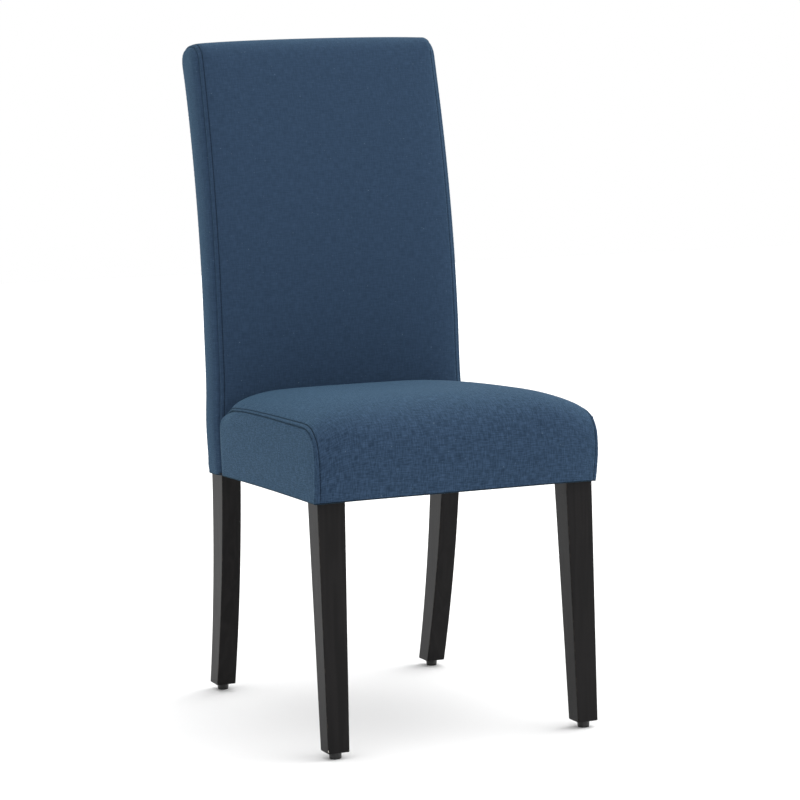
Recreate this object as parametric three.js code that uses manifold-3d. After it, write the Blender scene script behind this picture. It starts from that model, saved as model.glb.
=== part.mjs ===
import * as THREE from 'three';
import { mergeVertices } from 'three/addons/utils/BufferGeometryUtils.js';
import Module from 'manifold-3d';

// A parsons dining chair: a tenoned wooden frame under a fabric cover, on four screw-in feet.
// Millimetres, +Z up, the sitter faces -Y. Y is measured from the front faces of the front legs,
// and the last lines put the origin on the floor under the middle of the chair.

const wasm = await Module();
wasm.setup();

// General
const fit = 0.3; // gap between two pieces that touch on the real chair
const overrun = 2; // how far a cutting solid passes the face it cuts

// Heights above the floor
const footLength = 10; // the feet hold the leg ends this far off the floor
const seatBottomHeight = 353; // lower edge of the seat and back covers
const seatSideHeight = 105; // lower edge to the sewn edge between top and side panels
const seatCrownRise = 26; // sewn edge to the middle of the seat
const backTopHeight = 1005; // top of the back at its corners
const backCrownRise = 5; // how much higher the back is in the middle

// Front legs: square, tapered below the seat on the two inner faces
const frontLegWidth = 40;
const frontLegFootWidth = 31;
const legOuterHalf = 205.5; // outer faces from the middle of the chair
const legFootInset = 1.6; // the outer face leans in this much at the floor

// Rear posts: one curved piece each, from the floor to the top of the back
const postWidth = 30;
const postSetIn = 8.5; // outer faces of the posts inside those of the front legs
const postFootInset = 4.5; // the outer face leans in this much at the floor
const postFrontY = 444; // front face at the seat, where the side rails meet it
const postWaistDepth = 46; // front face at the seat to rear edge at the waist
const postFootDepth = 36.5;
const postBackDepth = 28; // depth of the post inside the back
const legSweepAboveSeat = 24; // below this height over the seam the leg sweeps back to the floor
const legSweepRadius = 1470;
const rakeAboveSeat = 105; // above this height over the seam the back leans away
const rearRakeRadius = 1290;
const frontRakeRadius = 1710;
const postTopDrop = 18; // the post ends this far under the back's top corners
const postStepLow = 8; // the step from seat depth to back depth starts this far above the rails
const postStepHeight = 28;

// Seat rails
const railThickness = 20;
const railHeight = 64;
const railLift = 3; // the covers wrap this far under the rails
const sideRailReveal = 1; // the side rail's outer face lies inside the post's
const rearRailSetback = 26; // post's front face to the rear rail's front face
const tenonThickness = 10;
const tenonLength = 15;
const tenonShoulder = 10;

// Back rails
const backRailThickness = 20;
const lowRailGap = 12.7; // over the seat board
const lowRailHeight = 50;
const topRailHeight = 64;

// Corner blocks and screws
const blockLeg = 80;
const blockHeight = 44;
const railScrewFromCorner = 60;
const railScrewDrop = 32; // under the top of the rails
const screwSeatDepth = 14; // wood between a rail screw's head and the rail
const boardScrewInset = 26;
const boardScrewOffset = 32;
const screwRadius = 2;
const screwHeadRadius = 4;
const screwHeadHeight = 2.4;
const screwLength = 30;
const screwTipLength = 5;

// Seat board and back panel
const boardThickness = 12;
const boardFrontInset = 4;
const panelThickness = 4;
const panelLowGap = 17; // bottom of the panel above the low rail's lower edge
const panelTopDrop = 5;

// Upholstery
const coverWall = 2; // fabric with its lining
const hemWidth = 16;
const padGap = fit;
const seatSideOverhang = 6.7; // fullest point outside the front legs
const seatFrontOverhang = 24; // fullest point in front of the leg faces
const seatBackGap = 4; // crease between the seat and the back
const seatBulgeRise = 47; // lower edge to where the seat's sides stand out most
const seatSideDrawLow = 2.4;
const seatSideDrawHigh = 2;
const seatFrontDrawLow = 7;
const seatFrontDrawHigh = 12;
const seatRearDrawLow = 4;
const seatRearDrawHigh = 3;
const seatFrontRadius = 15;
const seatRearRadius = 24;
const seatFrontSeamDrop = 15; // the sewn edge dips towards the front
const seatFrontSeamReach = 170;
const seatFrontDipPower = 2.2;
const seatRearCornerDrop = 10;
const seatRearCornerReach = 55;
const seatCrownPower = 2.5;
const seatCrownRoundPower = 0.62;
const backSideOverhang = 5.5; // outside the posts
const backTopTaper = 4;
const backBottomDraw = 2.7;
const backThickness = 64; // at the waist
const backFrontRadius = 19;
const backRearRadius = 12;
const backBottomRadius = 3;
const backTopRadius = 16;
const backFrontCrown = 3; // the front panel stands out this much in the middle
const backDrawHeight = 24; // the cover's lower edge draws in over this height
const backDrawRear = 4;
const backCrownReach = 60; // the top's arch dies away this far below the top
const rearPadThickness = 4;
const dustThickness = 1;
const dustInset = 7;

// Feet
const padTopRadius = 9;
const padBottomRadius = 8.2;
const padEdge = 1;
const padSocketDepth = 6;
const stemRadius = 4;
const stemLength = 33;
const stemChamfer = 0.8;
const insertRadius = 6.5;
const insertLength = 15;
const insertFlange = 1.5;
const insertFlangeLength = 1.6;
const boreDepth = 36;

// Facets
const roundSteps = 20;
const screwSteps = 10;
const cornerSteps = 4;
const legSteps = 12;
const backSteps = 8;
const postStepSteps = 4;
const seatWallSteps = 4;
const seatSideSteps = 8;
const seatEndSteps = 6;
const backSideSteps = 1;
const backFrontSteps = 6;
const backEdgeSteps = 3;

// Shares, from the edge of a cushion's top (1) to its middle (0)
const seatCrownShares = [1, 0.975, 0.93, 0.84, 0.65, 0.35];
const backCrownShare = 0.5;
const screwCrownShare = 0.7; // flat middle of a screw's head

// Places worked out from the sizes above
const seatSeamHeight = seatBottomHeight + seatSideHeight;
const seatCrownHeight = seatSeamHeight + seatCrownRise;
const seatBulgeHeight = seatBottomHeight + seatBulgeRise;
const legSweepTop = seatSeamHeight + legSweepAboveSeat;
const rakeStart = seatSeamHeight + rakeAboveSeat;
const postOuterHalf = legOuterHalf - postSetIn;
const seatHalfWidth = legOuterHalf + seatSideOverhang;
const backHalfWidth = postOuterHalf + backSideOverhang;
const backTopHalfWidth = backHalfWidth - backTopTaper;
const backBottomHalfWidth = backHalfWidth - backBottomDraw;
const railBottomHeight = seatBottomHeight + railLift;
const railTopHeight = railBottomHeight + railHeight;
const legInnerHalf = legOuterHalf - frontLegWidth;
const postInnerHalf = postOuterHalf - postWidth;
const sideRailOuter = postOuterHalf - sideRailReveal;
const sideRailInner = sideRailOuter - railThickness;
const rearRailFront = postFrontY + rearRailSetback;
const postTopHeight = backTopHeight - postTopDrop;
const postWaistRear = postFrontY + postWaistDepth;
const backRearAtWaist = postWaistRear + fit + rearPadThickness + fit + coverWall;
const backFrontAtWaist = backRearAtWaist - backThickness;
const seatRearY = backFrontAtWaist - seatBackGap;
const seatFrontY = -seatFrontOverhang;
const seatMiddleY = (seatFrontY + seatRearY) / 2;
const boardTopHeight = railTopHeight + fit + boardThickness;
const lowRailBottomHeight = boardTopHeight + lowRailGap;
const wrapGap = coverWall + padGap;

// Finishes
const darkWood = new THREE.MeshStandardMaterial({ color: 0x2a2320, roughness: 0.42, metalness: 0 });
const rawWood = new THREE.MeshStandardMaterial({ color: 0xc9a878, roughness: 0.75, metalness: 0 });
const plywood = new THREE.MeshStandardMaterial({ color: 0xd4b98c, roughness: 0.8, metalness: 0 });
const foam = new THREE.MeshStandardMaterial({ color: 0xe8e0c8, roughness: 0.95, metalness: 0 });
const fabric = new THREE.MeshStandardMaterial({ color: 0x3f5f80, roughness: 0.92, metalness: 0 });
const lining = new THREE.MeshStandardMaterial({ color: 0x151517, roughness: 0.95, metalness: 0 });
const footPlastic = new THREE.MeshStandardMaterial({ color: 0x121212, roughness: 0.5, metalness: 0 });
const steel = new THREE.MeshStandardMaterial({ color: 0xa8aaad, roughness: 0.35, metalness: 0.9 });

const chair = new THREE.Group();

function addPiece(name, geometry, material, parent = chair) {
  const mesh = new THREE.Mesh(geometry, material);
  mesh.name = name;
  parent.add(mesh);
  return mesh;
}

// Number helpers

function mix(a, b, share) {
  return a + (b - a) * share;
}

function smooth(low, high, value) {
  const share = THREE.MathUtils.clamp((value - low) / (high - low), 0, 1);
  return share * share * (3 - 2 * share);
}

function spread(from, to, count) {
  return Array.from({ length: count + 1 }, (_, i) => mix(from, to, i / count));
}

// Geometry helpers

// Turns the faces of a closed mesh outwards, told by the sign of its volume.
function faceOutwards(positions, triangles) {
  let volume = 0;
  const a = new THREE.Vector3();
  const b = new THREE.Vector3();
  const c = new THREE.Vector3();
  for (let i = 0; i < triangles.length; i += 3) {
    a.fromArray(positions, triangles[i] * 3);
    b.fromArray(positions, triangles[i + 1] * 3);
    c.fromArray(positions, triangles[i + 2] * 3);
    volume += a.dot(b.cross(c));
  }
  if (volume > 0) {
    return triangles;
  }
  const turned = [];
  for (let i = 0; i < triangles.length; i += 3) {
    turned.push(triangles[i], triangles[i + 2], triangles[i + 1]);
  }
  return turned;
}

// A closed solid through a row of loops. A loop of one point closes an end to a tip,
// and a longer loop at an end is closed by a flat fan.
function solidThroughLoops(loops) {
  const positions = [];
  const triangles = [];
  const starts = [];
  for (const loop of loops) {
    starts.push(positions.length / 3);
    for (const point of loop) {
      positions.push(point.x, point.y, point.z);
    }
  }
  for (let k = 0; k + 1 < loops.length; k += 1) {
    const count = Math.max(loops[k].length, loops[k + 1].length);
    for (let i = 0; i < count; i += 1) {
      const next = (i + 1) % count;
      const lowTip = loops[k].length === 1;
      const highTip = loops[k + 1].length === 1;
      const a = starts[k] + (lowTip ? 0 : i);
      const b = starts[k] + (lowTip ? 0 : next);
      const c = starts[k + 1] + (highTip ? 0 : next);
      const d = starts[k + 1] + (highTip ? 0 : i);
      if (!lowTip) {
        triangles.push(a, b, c);
      }
      if (!highTip) {
        triangles.push(a, c, d);
      }
    }
  }
  const first = loops[0].length;
  for (let i = 1; i + 1 < first; i += 1) {
    triangles.push(starts[0], starts[0] + i + 1, starts[0] + i);
  }
  const lastStart = starts[starts.length - 1];
  const last = loops[loops.length - 1].length;
  for (let i = 1; i + 1 < last; i += 1) {
    triangles.push(lastStart, lastStart + i, lastStart + i + 1);
  }
  const geometry = new THREE.BufferGeometry();
  geometry.setAttribute('position', new THREE.Float32BufferAttribute(positions, 3));
  geometry.setIndex(faceOutwards(positions, triangles));
  return geometry;
}

// A stack of rectangles, one for each height.
function stack(heights, rectangleAt) {
  return solidThroughLoops(heights.map((z) => {
    const { left, right, front, rear } = rectangleAt(z);
    return [
      new THREE.Vector3(left, front, z),
      new THREE.Vector3(right, front, z),
      new THREE.Vector3(right, rear, z),
      new THREE.Vector3(left, rear, z),
    ];
  }));
}

function block(left, right, front, rear, bottom, top) {
  return stack([bottom, top], () => ({ left, right, front, rear }));
}

function mirroredBlock(side, inner, outer, front, rear, bottom, top) {
  return block(side * inner, side * outer, front, rear, bottom, top);
}

// A flat plate cut to an outline given as [x, y] pairs.
function plate(outline, bottom, thickness) {
  const shape = new THREE.Shape(outline.map(([x, y]) => new THREE.Vector2(x, y)));
  const geometry = new THREE.ExtrudeGeometry(shape, { depth: thickness, bevelEnabled: false });
  geometry.translate(0, 0, bottom);
  return geometry;
}

function rod(radius, from, to, steps = roundSteps) {
  const length = from.distanceTo(to);
  const geometry = new THREE.CylinderGeometry(radius, radius, length, steps);
  const direction = new THREE.Vector3().subVectors(to, from).normalize();
  const turn = new THREE.Quaternion().setFromUnitVectors(new THREE.Vector3(0, 1, 0), direction);
  geometry.applyQuaternion(turn);
  geometry.translate((from.x + to.x) / 2, (from.y + to.y) / 2, (from.z + to.z) / 2);
  return geometry;
}

function toSolid(geometry) {
  const bare = geometry.clone();
  bare.deleteAttribute('normal');
  bare.deleteAttribute('uv');
  const merged = mergeVertices(bare, fit / 100);
  const vertProperties = Float32Array.from(merged.attributes.position.array);
  const triVerts = Uint32Array.from(merged.index.array);
  return new wasm.Manifold(new wasm.Mesh({ numProp: 3, vertProperties, triVerts }));
}

function fromSolid(solid) {
  const mesh = solid.getMesh();
  const geometry = new THREE.BufferGeometry();
  geometry.setAttribute('position', new THREE.BufferAttribute(mesh.vertProperties, 3));
  geometry.setIndex(new THREE.BufferAttribute(mesh.triVerts, 1));
  return geometry;
}

function cut(geometry, tools) {
  let solid = toSolid(geometry);
  for (const tool of tools) {
    solid = solid.subtract(toSolid(tool));
  }
  return fromSolid(solid);
}

function join(geometry, others) {
  let solid = toSolid(geometry);
  for (const other of others) {
    solid = solid.add(toSolid(other));
  }
  return fromSolid(solid);
}

// A rectangle with round corners seen from above, always with the same number of points.
function roundLoop(half, front, rear, frontRadius, rearRadius, sideSteps, edgeSteps, z) {
  const corners = [
    { x: -half + frontRadius, y: front + frontRadius, r: frontRadius, start: Math.PI },
    { x: half - frontRadius, y: front + frontRadius, r: frontRadius, start: 1.5 * Math.PI },
    { x: half - rearRadius, y: rear - rearRadius, r: rearRadius, start: 0 },
    { x: -half + rearRadius, y: rear - rearRadius, r: rearRadius, start: 0.5 * Math.PI },
  ];
  const points = [];
  corners.forEach((corner, k) => {
    for (const share of spread(0, 1, cornerSteps)) {
      const angle = corner.start + share * 0.5 * Math.PI;
      const x = corner.x + corner.r * Math.cos(angle);
      const y = corner.y + corner.r * Math.sin(angle);
      points.push(new THREE.Vector3(x, y, z));
    }
    const after = corners[(k + 1) % corners.length];
    const from = points[points.length - 1].clone();
    const toX = after.x + after.r * Math.cos(after.start);
    const toY = after.y + after.r * Math.sin(after.start);
    const steps = k % 2 === 0 ? edgeSteps : sideSteps;
    for (let i = 1; i < steps; i += 1) {
      points.push(new THREE.Vector3(mix(from.x, toX, i / steps), mix(from.y, toY, i / steps), z));
    }
  });
  return points;
}

// Every piece that follows the curve of the posts turns at these same heights.
const stepLow = railTopHeight + postStepLow;
const stepHigh = stepLow + postStepHeight;
const sweepHeights = [
  ...spread(footLength, seatBottomHeight, legSteps),
  seatBottomHeight + backDrawHeight / 2,
  seatBottomHeight + backDrawHeight,
  stepLow,
  legSweepTop,
  ...spread(rakeStart, postTopHeight, backSteps),
];

function heightsBetween(bottom, top, extra = []) {
  const inside = [...sweepHeights, ...extra].filter((z) => z > bottom + fit && z < top - fit);
  return [bottom, ...inside.sort((a, b) => a - b), top];
}

// Rear post outline, seen from the side

function postRear(z) {
  if (z < legSweepTop) {
    return postWaistRear + (legSweepTop - z) ** 2 / (2 * legSweepRadius);
  }
  if (z > rakeStart) {
    return postWaistRear + (z - rakeStart) ** 2 / (2 * rearRakeRadius);
  }
  return postWaistRear;
}

function postFront(z) {
  if (z < seatBottomHeight) {
    const share = (z - footLength) / (seatBottomHeight - footLength);
    const depthAtSeat = postRear(seatBottomHeight) - postFrontY;
    return postRear(z) - mix(postFootDepth, depthAtSeat, share);
  }
  const share = smooth(stepLow, stepHigh, z);
  return mix(postFrontY, postRear(z) - postBackDepth, share);
}

function postInner(z) {
  const share = THREE.MathUtils.clamp((z - footLength) / (seatBottomHeight - footLength), 0, 1);
  return postInnerHalf - postFootInset * (1 - share);
}

// Inside the back the outer face leans in with the cover.
function backLean(z) {
  return (backHalfWidth - backTopHalfWidth) * Math.max(0, (z - rakeStart) / (backTopHeight - rakeStart));
}

function postOuter(z) {
  return postInner(z) + postWidth - backLean(z);
}

// Back cover outline, seen from the side

function backFront(z) {
  const lean = Math.max(0, z - rakeStart);
  return backFrontAtWaist + lean * lean / (2 * frontRakeRadius);
}

function backRear(z) {
  const draw = backDrawRear * (1 - smooth(seatBottomHeight, seatBottomHeight + backDrawHeight, z));
  return postRear(z) + fit + rearPadThickness + fit + coverWall - draw;
}

function backHalf(z) {
  const low = smooth(seatBottomHeight, seatBottomHeight + backDrawHeight, z);
  return mix(backBottomHalfWidth, backHalfWidth, low) - backLean(z);
}

// Feet

function footPlace(side, end) {
  if (end === 'front') {
    const middle = legOuterHalf - legFootInset - frontLegFootWidth / 2;
    return new THREE.Vector3(side * middle, frontLegFootWidth / 2, 0);
  }
  const middle = postOuter(footLength) - postWidth / 2;
  return new THREE.Vector3(side * middle, (postFront(footLength) + postRear(footLength)) / 2, 0);
}

function legBore(side, end) {
  const place = footPlace(side, end);
  const low = place.clone().setZ(footLength - overrun);
  const flangeTop = place.clone().setZ(footLength + insertFlangeLength + fit);
  const insertTop = place.clone().setZ(footLength + insertLength + fit);
  const boreTop = place.clone().setZ(footLength + boreDepth);
  return [
    rod(insertRadius + insertFlange + fit, low, flangeTop),
    rod(insertRadius + fit, low, insertTop),
    rod(stemRadius + fit, low, boreTop),
  ];
}

function lathe(profile) {
  const geometry = new THREE.LatheGeometry(profile.map(([r, z]) => new THREE.Vector2(r, z)), roundSteps);
  geometry.rotateX(Math.PI / 2);
  return fromSolid(toSolid(geometry));
}

function footPad() {
  const top = footLength - fit;
  const socket = stemRadius + fit;
  return lathe([
    [0, 0],
    [padBottomRadius - padEdge, 0],
    [padBottomRadius, padEdge],
    [padTopRadius, top],
    [socket, top],
    [socket, top - padSocketDepth],
    [0, top - padSocketDepth],
  ]);
}

function footStem() {
  const low = footLength - padSocketDepth;
  const high = low + stemLength;
  return lathe([
    [0, low],
    [stemRadius - stemChamfer, low],
    [stemRadius, low + stemChamfer],
    [stemRadius, high - stemChamfer],
    [stemRadius - stemChamfer, high],
    [0, high],
  ]);
}

function footInsert() {
  const high = footLength + insertLength;
  const bore = stemRadius + fit;
  return lathe([
    [bore, footLength],
    [insertRadius + insertFlange, footLength],
    [insertRadius + insertFlange, footLength + insertFlangeLength],
    [insertRadius, footLength + insertFlangeLength],
    [insertRadius, high],
    [bore, high],
    [bore, footLength],
  ]);
}

// Frame

function frontLeg(side) {
  const leg = stack([footLength, seatBottomHeight, railTopHeight], (z) => {
    const share = Math.min(1, (z - footLength) / (seatBottomHeight - footLength));
    const width = mix(frontLegFootWidth, frontLegWidth, share);
    const outer = legOuterHalf - legFootInset * (1 - share);
    return { left: side * (outer - width), right: side * outer, front: 0, rear: width };
  });
  return cut(leg, [frontRailTenon(fit), sideRailTenon(side, fit), ...legBore(side, 'front')]);
}

function rearPost(side) {
  const step = spread(stepLow, stepHigh, postStepSteps).slice(1);
  const post = stack(heightsBetween(footLength, postTopHeight, step), (z) => ({
    left: side * postInner(z),
    right: side * postOuter(z),
    front: postFront(z),
    rear: postRear(z),
  }));
  return cut(post, [
    sideRailTenon(side, fit),
    rearRailTenon(fit),
    lowRailTenon(fit),
    topRailTenon(fit),
    ...legBore(side, 'rear'),
  ]);
}

function tenonBlock(halfLength, front, bottom, top, gap) {
  const middle = front + railThickness / 2;
  const halfDepth = tenonThickness / 2 + gap;
  const reach = halfLength + tenonLength + gap;
  const low = bottom + tenonShoulder - gap;
  const high = top - tenonShoulder + gap;
  return block(-reach, reach, middle - halfDepth, middle + halfDepth, low, high);
}

function frontRailTenon(gap) {
  return tenonBlock(legInnerHalf, 0, railBottomHeight, railTopHeight, gap);
}

function rearRailTenon(gap) {
  return tenonBlock(postInnerHalf, rearRailFront, railBottomHeight, railTopHeight, gap);
}

function lowRailFront() {
  return postWaistRear - postBackDepth;
}

function lowRailTenon(gap) {
  const top = lowRailBottomHeight + lowRailHeight;
  return tenonBlock(postInnerHalf, lowRailFront(), lowRailBottomHeight, top, gap);
}

function sideRailTenon(side, gap) {
  const middle = (sideRailInner + sideRailOuter) / 2;
  const half = tenonThickness / 2 + gap;
  const front = frontLegWidth - tenonLength - gap;
  const rear = postFrontY + tenonLength + gap;
  const low = railBottomHeight + tenonShoulder - gap;
  const high = railTopHeight - tenonShoulder + gap;
  return mirroredBlock(side, middle - half, middle + half, front, rear, low, high);
}

function topRailSlice(half, depthFrom, depthTo, bottom, top) {
  return stack(heightsBetween(bottom, top), (z) => ({
    left: -half,
    right: half,
    front: postFront(z) + depthFrom,
    rear: postFront(z) + depthTo,
  }));
}

function topRailTenon(gap) {
  const from = (backRailThickness - tenonThickness) / 2 - gap;
  const bottom = postTopHeight - topRailHeight + tenonShoulder - gap;
  const top = postTopHeight - tenonShoulder + gap;
  const half = postInnerHalf + tenonLength + gap;
  return topRailSlice(half, from, from + tenonThickness + 2 * gap, bottom, top);
}

function frontRail() {
  const half = legInnerHalf - fit;
  const body = block(-half, half, 0, railThickness, railBottomHeight, railTopHeight);
  return cut(join(body, [frontRailTenon(0)]), railPilotHoles());
}

function rearRail() {
  const half = postInnerHalf - fit;
  const rear = rearRailFront + railThickness;
  const body = block(-half, half, rearRailFront, rear, railBottomHeight, railTopHeight);
  return cut(join(body, [rearRailTenon(0)]), railPilotHoles());
}

function sideRail(side) {
  const front = frontLegWidth + fit;
  const rear = postFrontY - fit;
  const bottom = railBottomHeight;
  const body = mirroredBlock(side, sideRailInner, sideRailOuter, front, rear, bottom, railTopHeight);
  return cut(join(body, [sideRailTenon(side, 0)]), railPilotHoles());
}

function lowRail() {
  const half = postInnerHalf - fit;
  const front = lowRailFront();
  const top = lowRailBottomHeight + lowRailHeight;
  const body = block(-half, half, front, front + backRailThickness, lowRailBottomHeight, top);
  return join(body, [lowRailTenon(0)]);
}

function topRail() {
  const bottom = postTopHeight - topRailHeight;
  const body = topRailSlice(postInnerHalf - fit, 0, backRailThickness, bottom, postTopHeight);
  return join(body, [topRailTenon(0)]);
}

// Corner blocks. In from the side rail is u, in from the front or rear rail is w.

const frontCorner = {
  name: 'front',
  notchU: sideRailInner - legInnerHalf + fit,
  notchW: frontLegWidth - railThickness + fit,
  place: (side, u, w) => [side * (sideRailInner - fit - u), railThickness + fit + w],
  inward: 1,
};
const rearCorner = {
  name: 'rear',
  notchU: sideRailInner - postInnerHalf + fit,
  notchW: rearRailFront - postFrontY + fit,
  place: (side, u, w) => [side * (sideRailInner - fit - u), rearRailFront - fit - w],
  inward: -1,
};
const corners = [];
for (const corner of [frontCorner, rearCorner]) {
  corners.push({ ...corner, side: -1, label: `${corner.name}_left` });
  corners.push({ ...corner, side: 1, label: `${corner.name}_right` });
}

function cornerPoint(corner, u, w, z) {
  const [x, y] = corner.place(corner.side, u, w);
  return new THREE.Vector3(x, y, z);
}

// Each screw is given by where its head bears and the way it points.
function cornerScrews(corner) {
  const height = railTopHeight - railScrewDrop;
  const out = new THREE.Vector3(corner.side, 0, 0);
  const along = new THREE.Vector3(0, -corner.inward, 0);
  return [
    {
      name: `rail_screw_${corner.label}_side`,
      seat: cornerPoint(corner, screwSeatDepth, railScrewFromCorner, height),
      way: out,
    },
    {
      name: `rail_screw_${corner.label}_end`,
      seat: cornerPoint(corner, railScrewFromCorner, screwSeatDepth, height),
      way: along,
    },
  ];
}

function boardScrew(corner) {
  return {
    name: `board_screw_${corner.label}`,
    seat: cornerPoint(corner, boardScrewInset, boardScrewOffset, boardTopHeight - screwHeadHeight),
    way: new THREE.Vector3(0, 0, -1),
  };
}

function shankHole(screw) {
  const end = screw.seat.clone().addScaledVector(screw.way, screwLength + fit);
  return rod(screwRadius + fit, screw.seat.clone(), end, screwSteps);
}

function headHole(screw, length) {
  const seat = screw.seat.clone().addScaledVector(screw.way, fit);
  const end = screw.seat.clone().addScaledVector(screw.way, -length);
  return rod(screwHeadRadius + fit, seat, end, screwSteps);
}

function railPilotHoles() {
  return corners.flatMap((corner) => cornerScrews(corner).map(shankHole));
}

function cornerBlock(corner) {
  const outline = [
    [0, corner.notchW],
    [corner.notchU, corner.notchW],
    [corner.notchU, 0],
    [blockLeg, 0],
    [0, blockLeg],
  ].map(([u, w]) => corner.place(corner.side, u, w));
  const body = plate(outline, railTopHeight - blockHeight, blockHeight);
  const screws = cornerScrews(corner);
  const tools = [
    ...screws.map(shankHole),
    ...screws.map((screw) => headHole(screw, blockLeg / 2)),
    shankHole(boardScrew(corner)),
  ];
  return cut(body, tools);
}

function screwShape() {
  const tip = screwLength - screwTipLength;
  const points = [
    [0, -screwHeadHeight],
    [screwHeadRadius * screwCrownShare, -screwHeadHeight],
    [screwHeadRadius, -screwHeadHeight / 2],
    [screwHeadRadius, 0],
    [screwRadius, 0],
    [screwRadius, tip],
    [0, screwLength],
  ];
  const outline = points.map(([r, y]) => new THREE.Vector2(r, y));
  return new THREE.LatheGeometry(outline, screwSteps);
}

function addScrew(screw) {
  const mesh = addPiece(screw.name, fromSolid(toSolid(screwShape())), steel);
  mesh.position.copy(screw.seat);
  mesh.quaternion.setFromUnitVectors(new THREE.Vector3(0, 1, 0), screw.way);
}

// Boards

function seatBoard() {
  const half = sideRailOuter;
  const neck = postInnerHalf - fit;
  const shoulder = postFrontY - fit;
  const rear = rearRailFront + railThickness;
  const outline = [
    [-half, boardFrontInset],
    [half, boardFrontInset],
    [half, shoulder],
    [neck, shoulder],
    [neck, rear],
    [-neck, rear],
    [-neck, shoulder],
    [-half, shoulder],
  ];
  const body = plate(outline, railTopHeight + fit, boardThickness);
  const screws = corners.map(boardScrew);
  const heads = screws.map((screw) => headHole(screw, screwHeadHeight + overrun));
  return cut(body, [...screws.map(shankHole), ...heads]);
}

function panelRear(z) {
  return postFront(z) - fit;
}

function backPanel() {
  const bottom = lowRailBottomHeight + panelLowGap;
  const top = postTopHeight - panelTopDrop;
  return stack(heightsBetween(bottom, top), (z) => ({
    left: -postOuter(z),
    right: postOuter(z),
    front: panelRear(z) - panelThickness,
    rear: panelRear(z),
  }));
}

// Seat cushion. The same shape at several offsets gives the cover's two faces and the foam.

function seatDraw(z, low, high) {
  if (z < seatBulgeHeight) {
    return low * ((seatBulgeHeight - z) / (seatBulgeHeight - seatBottomHeight)) ** 2;
  }
  return high * ((z - seatBulgeHeight) / (seatSeamHeight - seatBulgeHeight)) ** 2;
}

function seatLoop(z, offset, extra = 0) {
  const inset = offset + extra;
  const half = seatHalfWidth - seatDraw(z, seatSideDrawLow, seatSideDrawHigh) - inset;
  const front = seatFrontY + seatDraw(z, seatFrontDrawLow, seatFrontDrawHigh) + inset;
  const rear = seatRearY - seatDraw(z, seatRearDrawLow, seatRearDrawHigh) - inset;
  const frontRadius = Math.max(seatFrontRadius - inset, fit);
  const rearRadius = Math.max(seatRearRadius - inset, fit);
  return roundLoop(half, front, rear, frontRadius, rearRadius, seatSideSteps, seatEndSteps, z);
}

// The sewn edge dips towards the front and at the two rear corners.
function seatSeamDip(point) {
  const nearness = Math.max(0, 1 - (point.y - seatFrontY) / seatFrontSeamReach);
  const front = nearness ** seatFrontDipPower;
  const rear = smooth(seatRearY - seatRearCornerReach, seatRearY, point.y);
  const corner = smooth(seatHalfWidth - 2 * seatRearCornerReach, seatHalfWidth, Math.abs(point.x));
  return seatFrontSeamDrop * front + seatRearCornerDrop * rear * corner;
}

function seatCrown(offset) {
  const rim = seatLoop(seatSeamHeight, offset);
  const loops = [];
  for (const share of seatCrownShares) {
    loops.push(rim.map((point) => {
      const rimHeight = seatSeamHeight - seatSeamDip(point);
      const rise = (1 - share ** seatCrownPower) ** seatCrownRoundPower;
      return new THREE.Vector3(
        point.x * share,
        seatMiddleY + (point.y - seatMiddleY) * share,
        mix(rimHeight, seatCrownHeight, rise) - offset,
      );
    }));
  }
  loops.push([new THREE.Vector3(0, seatMiddleY, seatCrownHeight - offset)]);
  return loops;
}

function seatCover() {
  const sides = spread(seatBottomHeight, boardTopHeight, seatWallSteps);
  const outer = [...sides.map((z) => seatLoop(z, 0)), ...seatCrown(0)];
  const hemTop = seatBottomHeight + coverWall;
  const innerSides = [hemTop, ...sides.slice(1)];
  const inner = [...innerSides.map((z) => seatLoop(z, coverWall)), ...seatCrown(coverWall)];
  const loops = [
    ...outer.reverse(),
    seatLoop(seatBottomHeight, 0, hemWidth),
    seatLoop(hemTop, 0, hemWidth),
    ...inner,
  ];
  const low = seatBottomHeight - overrun;
  const legTools = [-1, 1].map((side) => (
    mirroredBlock(
      side,
      legInnerHalf - fit,
      legOuterHalf + fit,
      -fit,
      frontLegWidth + fit,
      low,
      hemTop + overrun,
    )
  ));
  const openHalf = sideRailOuter + 2 * fit;
  const opening = block(
    -openHalf,
    openHalf,
    seatRearY - seatRearRadius,
    seatRearY + overrun,
    low,
    boardTopHeight + fit,
  );
  return cut(solidThroughLoops(loops), [...legTools, opening]);
}

function seatFoam() {
  const offset = coverWall + padGap;
  const bottom = boardTopHeight + fit;
  return solidThroughLoops([seatLoop(bottom, offset), ...seatCrown(offset)]);
}

function seatSidePad(side) {
  const heights = spread(seatBottomHeight, boardTopHeight, seatWallSteps);
  heights[0] = railBottomHeight;
  return stack(heights, (z) => ({
    left: side * (sideRailOuter + fit),
    right: side * (seatHalfWidth - seatDraw(z, seatSideDrawLow, seatSideDrawHigh) - wrapGap),
    front: frontLegWidth + fit,
    rear: seatRearY - seatRearRadius - seatRearDrawLow,
  }));
}

function seatFrontPad() {
  const half = legOuterHalf - seatFrontRadius;
  const heights = spread(seatBottomHeight, boardTopHeight, seatWallSteps);
  heights[0] = railBottomHeight;
  return stack(heights, (z) => ({
    left: -half,
    right: half,
    front: seatFrontY + seatDraw(z, seatFrontDrawLow, seatFrontDrawHigh) + wrapGap,
    rear: -fit,
  }));
}

// Back cushion

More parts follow.
